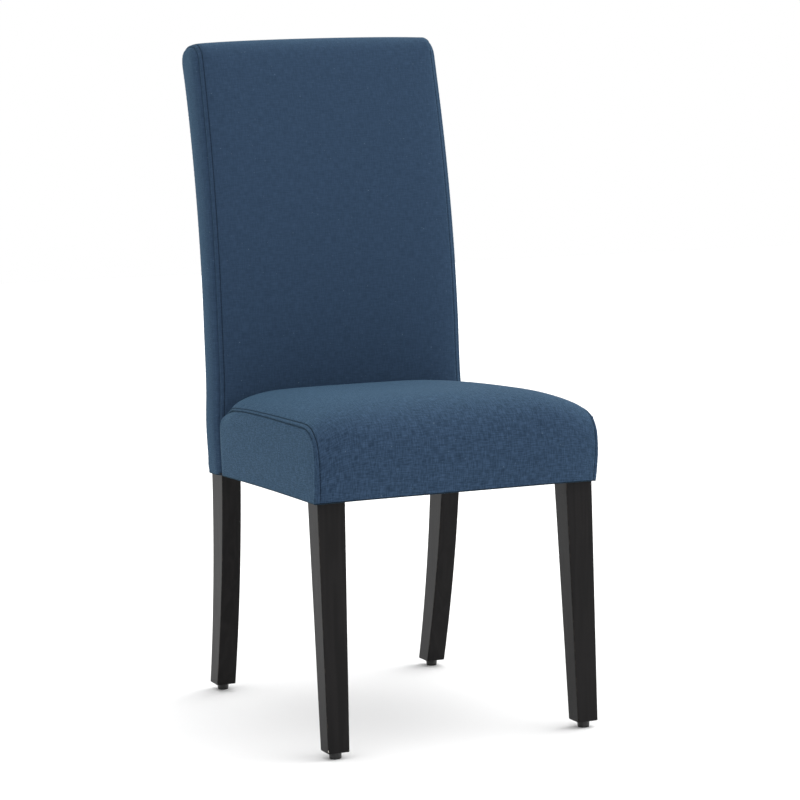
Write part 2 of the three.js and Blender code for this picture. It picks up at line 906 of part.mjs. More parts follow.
function backLoop(z, offset, inset, height) {
  const low = 1 - smooth(seatBottomHeight, seatBottomHeight + backDrawHeight, z);
  const reduce = offset + inset;
  const frontRadius = Math.max(mix(backFrontRadius, backBottomRadius, low) - offset, fit);
  const rearRadius = Math.max(mix(backRearRadius, backBottomRadius, low) - offset, fit);
  const half = backHalf(z) - reduce;
  const front = backFront(z) + reduce;
  const rear = backRear(z) - reduce;
  const steps = [backSideSteps, backFrontSteps];
  const loop = roundLoop(half, front, rear, frontRadius, rearRadius, ...steps, z);
  const crown = smooth(backTopHeight - backCrownReach, backTopHeight, z);
  const middle = (front + rear) / 2;
  for (const point of loop) {
    const across = 1 - (point.x / backHalfWidth) ** 2;
    const rise = backCrownRise * across * crown;
    if (point.y < middle) {
      point.y += backFront(z + rise) - backFront(z) - backFrontCrown * across * (1 - low);
    } else {
      point.y += backRear(z + rise) - backRear(z);
    }
    point.z = height + rise;
  }
  return loop;
}

// Loops over the round top edge and in to the middle of the back's top.
function backCap(offset) {
  const loops = [];
  const top = backTopHeight;
  for (const share of spread(0, 1, backEdgeSteps).slice(1)) {
    const angle = share * 0.5 * Math.PI;
    const inset = (backTopRadius - offset) * (1 - Math.cos(angle));
    const height = top - backTopRadius + backTopRadius * Math.sin(angle) - offset;
    loops.push(backLoop(top - backTopRadius * (1 - share), offset, inset, height));
  }
  const rim = loops[loops.length - 1];
  const middleY = (backFront(top) + backRear(top)) / 2;
  loops.push(rim.map((point) => {
    const x = point.x * backCrownShare;
    const y = mix(middleY, point.y, backCrownShare);
    const across = 1 - (x / backHalfWidth) ** 2;
    return new THREE.Vector3(x, y, top - offset + backCrownRise * across);
  }));
  loops.push([new THREE.Vector3(0, middleY, top - offset + backCrownRise)]);
  return loops;
}

function backCover() {
  const heights = heightsBetween(seatBottomHeight, backTopHeight - backTopRadius);
  const hemTop = seatBottomHeight + coverWall;
  const outer = [...heights.map((z) => backLoop(z, 0, 0, z)), ...backCap(0)];
  const innerHeights = [hemTop, ...heights.slice(1)];
  const inner = [...innerHeights.map((z) => backLoop(z, coverWall, 0, z)), ...backCap(coverWall)];
  const loops = [
    ...outer.reverse(),
    backLoop(seatBottomHeight, 0, hemWidth, seatBottomHeight),
    backLoop(seatBottomHeight, 0, hemWidth, hemTop),
    ...inner,
  ];
  const low = seatBottomHeight - overrun;
  const openHalf = postOuterHalf + fit;
  const rearGap = postRear(seatBottomHeight) + fit;
  const postTools = [-1, 1].map((side) => (
    mirroredBlock(side, postInnerHalf - fit, openHalf, postFrontY - fit, rearGap, low, hemTop + overrun)
  ));
  const opening = block(
    -openHalf,
    openHalf,
    backFrontAtWaist - backFrontCrown - overrun,
    backFrontAtWaist + hemWidth + overrun,
    low,
    boardTopHeight + overrun,
  );
  return cut(solidThroughLoops(loops), [...postTools, opening]);
}

function backFoam() {
  const bottom = lowRailBottomHeight + panelLowGap;
  const top = postTopHeight - panelTopDrop;
  const offset = coverWall + padGap;
  return solidThroughLoops(heightsBetween(bottom, top).map((z) => {
    const half = backHalf(z) - offset;
    const front = backFront(z) + offset;
    const rear = panelRear(z) - panelThickness - fit;
    const loop = roundLoop(half, front, rear, backFrontRadius, fit, backSideSteps, backFrontSteps, z);
    for (const point of loop) {
      if (point.y < (front + rear) / 2) {
        point.y -= backFrontCrown * (1 - (point.x / backHalfWidth) ** 2);
      }
    }
    return loop;
  }));
}

function backTopPad() {
  const offset = coverWall + padGap;
  const bottom = postTopHeight + fit;
  return solidThroughLoops([backLoop(bottom, offset, 0, bottom), ...backCap(offset)]);
}

function backRearPad() {
  const half = backTopHalfWidth - backRearRadius;
  return stack(heightsBetween(railBottomHeight + backDrawHeight, postTopHeight), (z) => ({
    left: -half,
    right: half,
    front: postRear(z) + fit,
    rear: postRear(z) + fit + rearPadThickness,
  }));
}

function backSidePad(side) {
  return stack(heightsBetween(railBottomHeight + backDrawHeight, postTopHeight), (z) => ({
    left: side * (postOuter(z) + fit),
    right: side * (backHalf(z) - wrapGap),
    front: postRear(z) - postBackDepth + fit,
    rear: postRear(z) - backRearRadius / 2,
  }));
}

// Dust cover, notched round the four legs
function dustCover() {
  const half = seatHalfWidth - seatSideDrawLow - dustInset;
  const front = seatFrontY + seatFrontDrawLow + dustInset;
  const rear = rearRailFront + railThickness;
  const legIn = legInnerHalf - fit;
  const legRear = frontLegWidth + fit;
  const postIn = postInnerHalf - fit;
  const postStart = postFrontY - fit;
  const outline = [
    [-legIn, front],
    [legIn, front],
    [legIn, legRear],
    [half, legRear],
    [half, postStart],
    [postIn, postStart],
    [postIn, rear],
    [-postIn, rear],
    [-postIn, postStart],
    [-half, postStart],
    [-half, legRear],
    [-legIn, legRear],
  ];
  return plate(outline, seatBottomHeight - fit - dustThickness, dustThickness);
}

// Put the chair together

for (const [side, hand] of [[-1, 'left'], [1, 'right']]) {
  addPiece(`front_leg_${hand}`, frontLeg(side), darkWood);
  addPiece(`rear_post_${hand}`, rearPost(side), darkWood);
  addPiece(`side_rail_${hand}`, sideRail(side), rawWood);
  addPiece(`seat_side_pad_${hand}`, seatSidePad(side), foam);
  addPiece(`back_side_pad_${hand}`, backSidePad(side), foam);
  for (const end of ['front', 'rear']) {
    const foot = new THREE.Group();
    foot.position.copy(footPlace(side, end));
    chair.add(foot);
    addPiece(`foot_pad_${end}_${hand}`, footPad(), footPlastic, foot);
    addPiece(`foot_stem_${end}_${hand}`, footStem(), steel, foot);
    addPiece(`foot_insert_${end}_${hand}`, footInsert(), steel, foot);
  }
}
addPiece('front_rail', frontRail(), rawWood);
addPiece('rear_rail', rearRail(), rawWood);
addPiece('back_low_rail', lowRail(), rawWood);
addPiece('back_top_rail', topRail(), rawWood);
for (const corner of corners) {
  addPiece(`corner_block_${corner.label}`, cornerBlock(corner), rawWood);
  cornerScrews(corner).forEach(addScrew);
  addScrew(boardScrew(corner));
}
addPiece('seat_board', seatBoard(), plywood);
addPiece('back_panel', backPanel(), plywood);
addPiece('seat_foam', seatFoam(), foam);
addPiece('seat_front_pad', seatFrontPad(), foam);
addPiece('back_foam', backFoam(), foam);
addPiece('back_top_pad', backTopPad(), foam);
addPiece('back_rear_pad', backRearPad(), foam);
addPiece('seat_cover', seatCover(), fabric);
addPiece('back_cover', backCover(), fabric);
addPiece('dust_cover', dustCover(), lining);

// Centre the chair over the origin, front to back
const box = new THREE.Box3().setFromObject(chair);
chair.position.y = -(box.min.y + box.max.y) / 2;
chair.updateMatrixWorld(true);

export default chair;
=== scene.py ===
import math

import bpy
import numpy as np
from mathutils import Matrix, Vector


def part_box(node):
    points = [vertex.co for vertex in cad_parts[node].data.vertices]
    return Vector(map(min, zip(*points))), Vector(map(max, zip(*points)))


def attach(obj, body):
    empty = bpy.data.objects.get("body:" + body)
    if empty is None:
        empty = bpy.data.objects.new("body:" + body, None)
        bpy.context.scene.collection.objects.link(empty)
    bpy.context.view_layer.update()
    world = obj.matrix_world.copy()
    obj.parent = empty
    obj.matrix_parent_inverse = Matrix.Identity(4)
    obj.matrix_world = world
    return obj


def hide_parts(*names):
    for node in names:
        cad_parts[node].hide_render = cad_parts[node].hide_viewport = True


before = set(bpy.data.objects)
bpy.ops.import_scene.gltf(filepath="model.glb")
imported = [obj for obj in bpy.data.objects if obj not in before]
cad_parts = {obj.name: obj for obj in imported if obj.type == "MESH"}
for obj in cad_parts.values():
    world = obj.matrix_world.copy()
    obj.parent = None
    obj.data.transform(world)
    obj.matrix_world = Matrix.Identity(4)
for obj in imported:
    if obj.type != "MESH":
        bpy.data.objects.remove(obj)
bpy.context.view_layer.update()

# Sizes are in millimetres and in chair coordinates: x across, y back from the front legs' front faces,
# z up from the floor. The frame is in metres with its origin under the middle of the chair.
mm = 0.001
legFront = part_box("front_leg_left")[0].y / mm
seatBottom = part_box("seat_cover")[0].z / mm
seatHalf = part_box("seat_cover")[1].x / mm
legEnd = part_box("front_leg_left")[0].z / mm
skyward = np.array([0.0, 0.0, 1.0])


# Shared shapes

# From 0 at low to 1 at high: the share squared, times three less twice the share.
def smooth(low, high, value):
    share = np.clip((value - low) / (high - low), 0, 1)
    return share * share * (3 - 2 * share)


# A share of the way from the first value to the second, in a straight line.
def mix(first, second, share):
    return first + (second - first) * share


# Vectors, one to a row, each divided by its own length.
def unit(ways):
    return ways / np.linalg.norm(ways, axis=1, keepdims=True)


# Positions along a length: fine steps beside the ends that carry a seam, coarse ones elsewhere.
def positions(length, grain, count=None, atStart=True, atEnd=True):
    near = np.arange(0, grain["reach"], grain["fine"])
    low = near if atStart else np.array([0.0])
    high = length - near[::-1] if atEnd else np.array([length])
    start, end = low[-1], high[0]
    count = count or max(2, math.ceil((end - start) / grain["coarse"]))
    between = start + (end - start) * np.arange(1, count) / count
    return np.concatenate([low, between, high])


# The distance of each point from the first, along the line through them.
def lengthAlong(points):
    gaps = np.linalg.norm(np.diff(points, axis=0), axis=1)
    return np.concatenate([[0.0], np.cumsum(gaps)])


# Values at wanted places, on straight lines through the values at the known places.
def valuesAt(known, values, wanted):
    return np.stack([np.interp(wanted, known, column) for column in values.T], 1)


# Places at given distances along a line of points.
def pointsAt(points, distances):
    return valuesAt(lengthAlong(points), points, distances)


# Values at wanted places along the first axis, on cubic curves through the values at the known places.
def through(known, values, wanted):
    slopes = np.gradient(values, known, axis=0)
    k = np.clip(np.searchsorted(known, wanted) - 1, 0, len(known) - 2)
    step = (known[k + 1] - known[k]).reshape(-1, 1, 1)
    t = (wanted - known[k]).reshape(-1, 1, 1) / step
    start = (1 + 2 * t) * (1 - t) ** 2 * values[k] + t * (1 - t) ** 2 * step * slopes[k]
    end = t ** 2 * (3 - 2 * t) * values[k + 1] + t ** 2 * (t - 1) * step * slopes[k + 1]
    return start + end


# Points along a straight stretch, without its start and with its end.
def straight(start, end, step=4.0):
    count = max(1, math.ceil(np.linalg.norm(end - start) / step))
    return [mix(start, end, k / count) for k in range(1, count + 1)]


# A side outline, (y, z): straight stretches joined by rounded corners. A corner is its point, how far
# before and after it the bend reaches, and the power of the superellipse that the bend follows.
def outline(start, corners, end, steps=90):
    places = [np.array(start, float)] + [np.array(c[:2], float) for c in corners] + [np.array(end, float)]
    points = [places[0]]
    middles = []
    angle = np.linspace(0, math.pi / 2, steps)
    for k, (_, _, before, after, power) in enumerate(corners, 1):
        into = (places[k] - places[k - 1]) / np.linalg.norm(places[k] - places[k - 1])
        away = (places[k + 1] - places[k]) / np.linalg.norm(places[k + 1] - places[k])
        first = 1 - np.sin(angle) ** (2 / power)
        second = 1 - np.cos(angle) ** (2 / power)
        bend = places[k] - before * np.outer(first, into) + after * np.outer(second, away)
        points.extend(straight(points[-1], bend[0]))
        middles.append(len(points) + steps // 2)
        points.extend(bend)
    points.extend(straight(points[-1], places[-1]))
    return np.array(points), middles


# Displacement along a seam, by distance from it: the sewn groove, the soft shoulder beside it, the small
# waves of the pucker and the shallow channel that the topstitch pulls in.
seamShape = {
    "depth": 1.7, "halfWidth": 2.6, "steepness": 1.5,
    "shoulder": 0.35, "shoulderAt": 4.2, "shoulderWidth": 1.8,
    "pucker": 0.16, "puckerFrom": 0.5, "puckerTo": 3, "puckerReach": 7, "waves": ((8.5, 0.0), (5.3, 1.7)),
    "stitchDistance": 7.7, "stitchDepth": 0.75, "stitchHalfWidth": 2.0,
}


# The groove is 1 less a smooth step, to a power, and the shoulder a bell curve. The pucker is a sum of sine
# waves that fades with distance, and the channel 1 less a smooth step from its middle.
def seamDisplacement(distance, along, topstitched):
    s = seamShape
    groove = -s["depth"] * (1 - smooth(0, s["halfWidth"], distance)) ** s["steepness"]
    shoulder = s["shoulder"] * np.exp(-((distance - s["shoulderAt"]) / s["shoulderWidth"]) ** 2)
    pucker = s["pucker"] * np.exp(-distance / s["puckerReach"])
    pucker = pucker * smooth(s["puckerFrom"], s["puckerTo"], distance)
    wave = sum(np.sin(2 * math.pi * along / length + shift) for length, shift in s["waves"])
    channel = 1 - smooth(0, s["stitchHalfWidth"], np.abs(distance - s["stitchDistance"]))
    return groove + shoulder + pucker * wave - s["stitchDepth"] * channel * topstitched


# Meshes

# Faces of a grid of points, numbered from first.
def gridFaces(rows, columns, first=0, closed=False):
    across = np.arange(columns if closed else columns - 1)
    row, column = np.meshgrid(np.arange(rows - 1), across, indexing="ij")
    after = (column + 1) % columns
    a = row * columns + column
    b = row * columns + after
    return (np.stack([a, b, b + columns, a + columns], -1) + first).reshape(-1, 4)


# The faces of many grids of the same size, each closed across.
def gridsOfFaces(count, rows, columns):
    faces = gridFaces(rows, columns, closed=True)
    return (faces[None] + np.arange(count)[:, None, None] * rows * columns).reshape(-1, 4)


# Which points are at the same place: the first of each, and for every point its number among them.
def joined(points):
    _, first, place = np.unique(np.round(points, 5), axis=0, return_index=True, return_inverse=True)
    return first, place.reshape(-1)


# A new object in the scene, for a mesh or a camera.
def placed(name, data):
    item = bpy.data.objects.new(name, data)
    bpy.context.scene.collection.objects.link(item)
    return item


# One mesh from several grids. Points in the same place are joined, and faces that close up are left out.
def meshFrom(name, points, faces, material, uv=None, values=None):
    first, place = joined(points)
    corners = place[faces]
    single = corners != np.roll(corners, -1, axis=1)
    keep = single.sum(1) >= 3
    corners, single = corners[keep], single[keep]
    counts = single.sum(1)
    mesh = bpy.data.meshes.new(name)
    inFrame = points[first].astype(float)
    inFrame[:, 1] += legFront
    mesh.vertices.add(len(inFrame))
    mesh.vertices.foreach_set("co", (inFrame * mm).ravel())
    mesh.loops.add(int(counts.sum()))
    mesh.loops.foreach_set("vertex_index", corners[single])
    mesh.polygons.add(len(corners))
    mesh.polygons.foreach_set("loop_start", np.concatenate([[0], np.cumsum(counts)[:-1]]))
    if uv is not None:
        layer = mesh.uv_layers.new(name="weave")
        layer.data.foreach_set("uv", uv[faces][keep][single].astype(np.float32).ravel())
    for key, value in (values or {}).items():
        attribute = mesh.attributes.new(key, "FLOAT", "POINT")
        attribute.data.foreach_set("value", value[first].astype(np.float32))
    mesh.update(calc_edges=True)
    mesh.validate()
    mesh.polygons.foreach_set("use_smooth", np.ones(len(mesh.polygons), bool))
    mesh.materials.append(material)
    return placed(name, mesh)


# Normals of the points of a mesh that isn't joined yet, in millimetres.
def normalsOf(points, faces):
    first, place = joined(points)
    a, b, c, d = (points[faces[:, k]] for k in range(4))
    across = np.cross(c - a, d - b)
    total = np.zeros((len(first), 3))
    for k in range(4):
        for axis in range(3):
            total[:, axis] += np.bincount(place[faces[:, k]], across[:, axis], len(first))
    total /= np.maximum(np.linalg.norm(total, axis=1, keepdims=True), 1e-12)
    return total[place]


# A body through rings of points, each ring with the same number of points, closed at both ends.
def ringBody(name, rings, material, values=None):
    count = rings[0].shape[0]
    middleFirst = np.repeat(rings[0].mean(0)[None], count, 0)
    middleLast = np.repeat(rings[-1].mean(0)[None], count, 0)
    points = np.concatenate([middleFirst, *rings, middleLast])
    faces = gridFaces(len(rings) + 2, count, closed=True)
    return meshFrom(name, points, faces, material, values=values)


# The angles of a full turn, in even steps.
def fullTurn(steps):
    return np.linspace(0, 2 * math.pi, steps, endpoint=False)


# A level ring round a place: the radius times the cosine and the sine of each angle.
def levelRing(place, radius, angles, z):
    across = place[0] + radius * np.cos(angles)
    deep = place[1] + radius * np.sin(angles)
    return np.stack([across, deep, np.full(len(angles), z)], 1)


# Upright rings round a path: the two ways across the path times the cosine and the sine of each angle.
def ringsRound(path, aside, out, radius, sides):
    angle = fullTurn(sides)[None, :, None]
    ring = aside[..., None, :] * np.cos(angle) + out[:, None] * np.sin(angle)
    return path[:, None] + ring * np.reshape(radius, (-1, 1, 1))


# A profile of radius and height, turned about an upright axis.
def lathed(name, profile, place, material, steps=56):
    return ringBody(name, [levelRing(place, r, fullTurn(steps), z) for r, z in profile], material)


# A quarter of a circle in a lathe's profile, from one angle to another, in degrees.
def arc(centreR, centreZ, radius, fromAngle, toAngle, steps=6):
    angles = np.radians(np.linspace(fromAngle, toAngle, steps))
    return [(centreR + radius * math.cos(a), centreZ + radius * math.sin(a)) for a in angles]


# Shader maths: a socket that can be added, multiplied and so on like a number.
class Socket:
    def __init__(self, shader, socket):
        self.shader = shader
        self.socket = socket

    def maths(self, operation, first, second=None, third=None):
        inputs = {k: v for k, v in enumerate((first, second, third)) if v is not None}
        return self.shader.make("ShaderNodeMath", {"operation": operation}, inputs)

    def __add__(self, other):
        return self.maths("ADD", self, other)

    __radd__ = __add__

    def __sub__(self, other):
        return self.maths("SUBTRACT", self, other)

    def __rsub__(self, other):
        return self.maths("SUBTRACT", other, self)

    def __mul__(self, other):
        return self.maths("MULTIPLY", self, other)

    __rmul__ = __mul__

    def __truediv__(self, other):
        return self.maths("DIVIDE", self, other)

    def __rtruediv__(self, other):
        return self.maths("DIVIDE", other, self)

    def __pow__(self, other):
        return self.maths("POWER", self, other)

    def absolute(self):
        return self.maths("ABSOLUTE", self)

    def sine(self):
        return self.maths("SINE", self)

    def floor(self):
        return self.maths("FLOOR", self)

    def remainder(self, size):
        return self.maths("FLOORED_MODULO", self, size)

    def atLeast(self, other):
        return self.maths("MAXIMUM", self, other)

    # From 0 at low to 1 at high, with soft ends.
    def between(self, low, high):
        return self.shader.make(
            "ShaderNodeMapRange", {"interpolation_type": "SMOOTHSTEP"},
            {"Value": self, "From Min": low, "From Max": high},
        )


class Shader:
    def __init__(self, tree):
        self.tree = tree
        for node in list(tree.nodes):
            tree.nodes.remove(node)

    # Any node: its type, its settings, then the values or sockets of its inputs.
    def make(self, kind, settings=None, inputs=None, output=0):
        node = self.tree.nodes.new(kind)
        for key, value in (settings or {}).items():
            setattr(node, key, value)
        for key, value in (inputs or {}).items():
            if isinstance(value, Socket):
                self.tree.links.new(value.socket, node.inputs[key])
            else:
                node.inputs[key].default_value = value
        return None if output is None else Socket(self, node.outputs[output])

    # The first few parts of a vector, as numbers.
    def parts(self, vector, count):
        first = self.make("ShaderNodeSeparateXYZ", {}, {0: vector})
        return [Socket(self, first.socket.node.outputs[k]) for k in range(count)]

    # A place in the piece's own coordinates, in metres.
    def place(self):
        return self.make("ShaderNodeTexCoord", output="Object")

    def attribute(self, name):
        return self.make("ShaderNodeAttribute", {"attribute_name": name}, output="Fac")

    # Points stretched by a different scale along each axis.
    def stretched(self, vector, scale, shift=(0, 0, 0)):
        scaled = self.make("ShaderNodeVectorMath", {"operation": "MULTIPLY"}, {0: vector, 1: scale})
        return self.make("ShaderNodeVectorMath", {"operation": "ADD"}, {0: scaled, 1: shift})

    def noise(self, vector, scale, detail=2.0, roughness=0.5):
        return self.make(
            "ShaderNodeTexNoise", {"noise_dimensions": "3D"},
            {"Vector": vector, "Scale": scale, "Detail": detail, "Roughness": roughness},
        )

    def blend(self, factor, first, second):
        return self.make(
            "ShaderNodeMix", {"data_type": "RGBA"}, {0: factor, 6: first, 7: second}, output=2,
        )

    # A colour times a number.
    def shade(self, colour, factor):
        factors = self.make("ShaderNodeCombineXYZ", {}, {0: factor, 1: factor, 2: factor})
        return self.make("ShaderNodeVectorMath", {"operation": "MULTIPLY"}, {0: colour, 1: factors})


# A material with one surface shader, whose even values are set on its own sockets.
class Finish(Shader):
    def __init__(self, name, values):
        self.material = bpy.data.materials.new(name)
        self.material.use_nodes = True
        super().__init__(self.material.node_tree)
        self.surface = self.tree.nodes.new("ShaderNodeBsdfPrincipled")
        output = self.tree.nodes.new("ShaderNodeOutputMaterial")
        self.tree.links.new(self.surface.outputs[0], output.inputs["Surface"])
        for key, value in values.items():
            self.surface.inputs[key].default_value = value

    def feed(self, **inputs):
        for key, value in inputs.items():
            self.tree.links.new(value.socket, self.surface.inputs[key.replace("_", " ")])

    # The bump's height is in metres.
    def bump(self, height):
        self.feed(Normal=self.make("ShaderNodeBump", {}, {"Height": height, "Distance": 1.0}))


# Materials

# The thread's width is in millimetres and heights are in metres. Scales are those of noise, along and
# across a thread where there are two, and ranges are the noise's values that soft steps run between.
# Shifts keep the patterns of the two directions apart. Seam and stitchLine are colour factors of painted
# shade in the seam groove and along the topstitch's channel; seamReach and stitchReach are the distances it
# fades over.
fabricLook = {
    "dark": (0.0104, 0.0220, 0.0430, 1), "light": (0.0375, 0.0675, 0.1215, 1),
    "speck": (0.16, 0.22, 0.28, 1), "speckShare": 0.5, "tint": (0.35, 0.72, 1.0, 1), "sheen": 0.16,
    "thread": 0.85, "slubScale": (80.0, 620.0), "slubRange": (0.40, 0.62), "barScale": (22.0, 230.0),
    "slubShifts": ((0.0, 0.0, 0.0), (7.3, 1.9, 0.0)), "barShifts": ((3.1, 5.7, 0.0), (9.4, 2.8, 0.0)),
    "mottleScale": 55.0, "speckScale": 330.0, "speckRange": (0.755, 0.79),
    "slubTone": 0.62, "barTone": 0.28, "threadTone": 0.10,
    "threadHeight": 0.00010, "slubHeight": 0.00010, "mottleHeight": 0.00008,
    "seam": 0.45, "seamReach": 2.2, "stitchLine": 0.38, "stitchReach": (0.4, 1.7),
}


# Blue linen weave: over-and-under threads, each half a sine wave high, thicker slubs along both
# directions and soft mottling. Painted shade darkens it in the seam groove, in the topstitch's channel
# and in the folded hem.
def fabricMaterial():
    look = fabricLook
    s = Finish("coverFabric", {"Roughness": 0.9, "Sheen Weight": look["sheen"], "Sheen Roughness": 0.5,
                               "Sheen Tint": look["tint"], "Specular IOR Level": 0.06})
    weave = s.make("ShaderNodeUVMap", {"uv_map": "weave"})
    across, upward = s.parts(weave, 2)
    pitch = look["thread"] * mm
    acrossCount, upwardCount = across / pitch, upward / pitch
    warp = (acrossCount * math.pi).sine().absolute()
    weft = (upwardCount * math.pi).sine().absolute()
    over = (acrossCount.floor() + upwardCount.floor()).remainder(2.0)
    thread = warp * over + weft * (1.0 - over)

    # Noise drawn out along the threads of one direction and then of the other.
    def drawnOut(scale, shifts, detail):
        ways = zip((scale, scale[::-1]), shifts)
        return [s.noise(s.stretched(weave, (*way, 1.0), shift), 1.0, detail) for way, shift in ways]

    slubAcross, slubUpward = drawnOut(look["slubScale"], look["slubShifts"], 1.0)
    slub = (slubAcross.between(*look["slubRange"]) + slubUpward.between(*look["slubRange"])) * 0.5
    barAcross, barUpward = drawnOut(look["barScale"], look["barShifts"], 2.0)
    bars = (barAcross + barUpward) * 0.5
    mottle = s.noise(weave, look["mottleScale"], 4.0, 0.6)
    specks = s.noise(weave, look["speckScale"], 1.0).between(*look["speckRange"])
    texture = s.attribute("texture")
    tone = slub * look["slubTone"] + bars * look["barTone"] + thread * look["threadTone"]
    tone = (tone - 0.5) * texture + 0.5
    colour = s.blend(tone, look["dark"], look["light"])
    colour = s.blend(specks * look["speckShare"], colour, look["speck"])
    # Painted shade: the colour is darkened in the seam groove and along the topstitch's channel.
    seam = mix(look["seam"], 1.0, s.attribute("seamDistance").between(0.0, look["seamReach"]))
    line = mix(look["stitchLine"], 1.0, s.attribute("stitchDistance").between(*look["stitchReach"]))
    s.feed(Base_Color=s.shade(colour, seam * line))
    height = thread * look["threadHeight"] + slub * texture * look["slubHeight"]
    s.bump(height + mottle * look["mottleHeight"])
    return s.material


threadLook = {"dark": (0.003, 0.007, 0.015, 1), "light": (0.009, 0.018, 0.034, 1),
              "twistScale": 1800.0, "height": 0.00005}


# Two-tone noise, as of twisted strands.
def threadMaterial():
    look = threadLook
    s = Finish("sewingThread", {"Roughness": 0.85, "Specular IOR Level": 0.1})
    twist = s.noise(s.place(), look["twistScale"], 1.0)
    s.feed(Base_Color=s.blend(twist, look["dark"], look["light"]))
    s.bump(twist * look["height"])
    return s.material


woodLook = {
    "espresso": {"dark": (0.0036, 0.0032, 0.0034, 1), "light": (0.0090, 0.0080, 0.0082, 1),
                 "roughness": (0.40, 0.50), "specular": 0.13,
                 "rubbed": (0.075, 0.060, 0.050, 1), "chipped": (0.66, 0.63, 0.58, 1)},
    "raw": {"dark": (0.40, 0.23, 0.10, 1), "light": (0.66, 0.46, 0.25, 1), "roughness": (0.6, 0.8),
            "specular": 0.4},
}
grainLook = {
    "streakScale": (6.0, 84.0), "ringScale": (3.0, 42.0), "rings": 38.0, "poreScale": (22.0, 900.0),
    "poreRange": (0.58, 0.70), "poreShare": 0.5, "tone": (0.7, 0.12, 0.1), "toneRange": (0.15, 0.85),
    "streakHeight": 0.00005, "poreHeight": 0.00003,
}
wearLook = {
    "rubScale": 160.0, "rubRange": (0.42, 0.62), "rubShare": 0.35, "rubRoughness": 0.15,
    "chipScale": 900.0, "chipRagged": 0.4, "chipRange": (0.78, 0.90),
}


# Wood with its grain along one axis (0, 1 or 2): long streaks, fine pores and rings bent by noise. Wood
# that has a rubbed and a chipped colour is rubbed on its edges, and chipped where the piece says so.
def woodMaterial(name, look, axis):
    g, w = grainLook, wearLook
    s = Finish(name, {"Specular IOR Level": look["specular"]})
    place = s.place()

    # The place, drawn out along the grain: a scale along it and one across it.
    def grained(scale):
        return s.stretched(place, tuple(scale[0] if k == axis else scale[1] for k in range(3)))

    streak = s.noise(grained(g["streakScale"]), 1.0, 5.0, 0.6)
    pore = s.noise(grained(g["poreScale"]), 1.0, 2.0).between(*g["poreRange"])
    rings = (s.noise(grained(g["ringScale"]), 1.0, 2.0) * g["rings"]).sine()
    streakTone, ringTone, evenTone = g["tone"]
    tone = streak * streakTone + rings * ringTone + evenTone
    colour = s.blend(tone.between(*g["toneRange"]), look["dark"], look["light"])
    colour = s.blend(pore * g["poreShare"], colour, look["dark"])
    low, high = look["roughness"]
    roughness = streak * (high - low) + low
    if "rubbed" in look:
        rub = (s.attribute("edge") * s.noise(place, w["rubScale"], 3.0, 0.7)).between(*w["rubRange"])
        colour = s.blend(rub * w["rubShare"], colour, look["rubbed"])
        roughness = roughness + rub * w["rubRoughness"]
        ragged = s.noise(place, w["chipScale"], 2.0) * w["chipRagged"]
        chip = (s.attribute("chip") + ragged).between(*w["chipRange"])
        colour = s.blend(chip, colour, look["chipped"])
    s.feed(Base_Color=colour, Roughness=roughness)
    s.bump(streak * g["streakHeight"] - pore * g["poreHeight"])
    return s.material


plyLook = {
    "dark": (0.52, 0.34, 0.17, 1), "light": (0.74, 0.56, 0.34, 1), "roughness": (0.6, 0.8),
    "grainScale": (90.0, 8.0, 8.0), "figureScale": (9.0, 1.2, 1.2), "figures": 30.0, "figureTone": 0.1,
    "toneRange": (0.3, 0.75), "height": 0.00008,
}


# Birch face: fine grain and a slow wavy figure across the chair.
def plywoodMaterial():
    look = plyLook
    s = Finish("birchPly", {"Specular IOR Level": 0.35})
    place = s.place()
    grain = s.noise(s.stretched(place, look["grainScale"]), 1.0, 5.0, 0.6)
    figure = (s.noise(s.stretched(place, look["figureScale"]), 1.0, 2.0) * look["figures"]).sine()
    tone = (grain + figure * look["figureTone"]).between(*look["toneRange"])
    s.feed(Base_Color=s.blend(tone, look["dark"], look["light"]), Roughness=mix(*look["roughness"], grain))
    s.bump(grain * look["height"])
    return s.material


steelLook = {
    "dark": (0.32, 0.33, 0.35, 1), "light": (0.56, 0.56, 0.54, 1), "roughness": (0.25, 0.5),
    "bloomScale": 260.0, "markScale": (400.0, 400.0, 2600.0), "height": 0.00002,
}


# Zinc-plated steel: a cloudy bloom in colour and roughness, and fine marks round the thread.
def steelMaterial():
    look = steelLook
    s = Finish("zincSteel", {"Metallic": 1.0})
    place = s.place()
    bloom = s.noise(place, look["bloomScale"], 4.0, 0.65)
    marks = s.noise(s.stretched(place, look["markScale"]), 1.0, 2.0)
    s.feed(Base_Color=s.blend(bloom, look["dark"], look["light"]), Roughness=mix(*look["roughness"], bloom))
    s.bump(marks * look["height"])
    return s.material


plasticLook = {
    "dark": (0.006, 0.006, 0.006, 1), "light": (0.018, 0.018, 0.019, 1), "roughness": (0.38, 0.58),
    "grainScale": 1500.0, "height": 0.00003,
    "scuffScale": (120.0, 120.0, 600.0), "scuffRange": (0.55, 0.75),
}


# Moulded black plastic: fine grain, and scuffs that are paler and rougher.
def plasticMaterial():
    look = plasticLook
    s = Finish("footPlastic", {"Specular IOR Level": 0.5})
    place = s.place()
    grain = s.noise(place, look["grainScale"], 2.0)
    scuff = s.noise(s.stretched(place, look["scuffScale"]), 1.0, 3.0).between(*look["scuffRange"])
    s.feed(Base_Color=s.blend(scuff, look["dark"], look["light"]), Roughness=mix(*look["roughness"], scuff))
    s.bump(grain * look["height"])
    return s.material


liningLook = {
    "dark": (0.006, 0.006, 0.007, 1), "light": (0.020, 0.020, 0.022, 1), "dot": (0.005, 0.005, 0.005, 1),
    "fibreScale": 700.0, "fibreHeight": 0.00012, "dotScale": 2400.0, "dotRange": (0.55, 0.9),
    "dotShare": 0.6, "dotHeight": 0.00008,
}


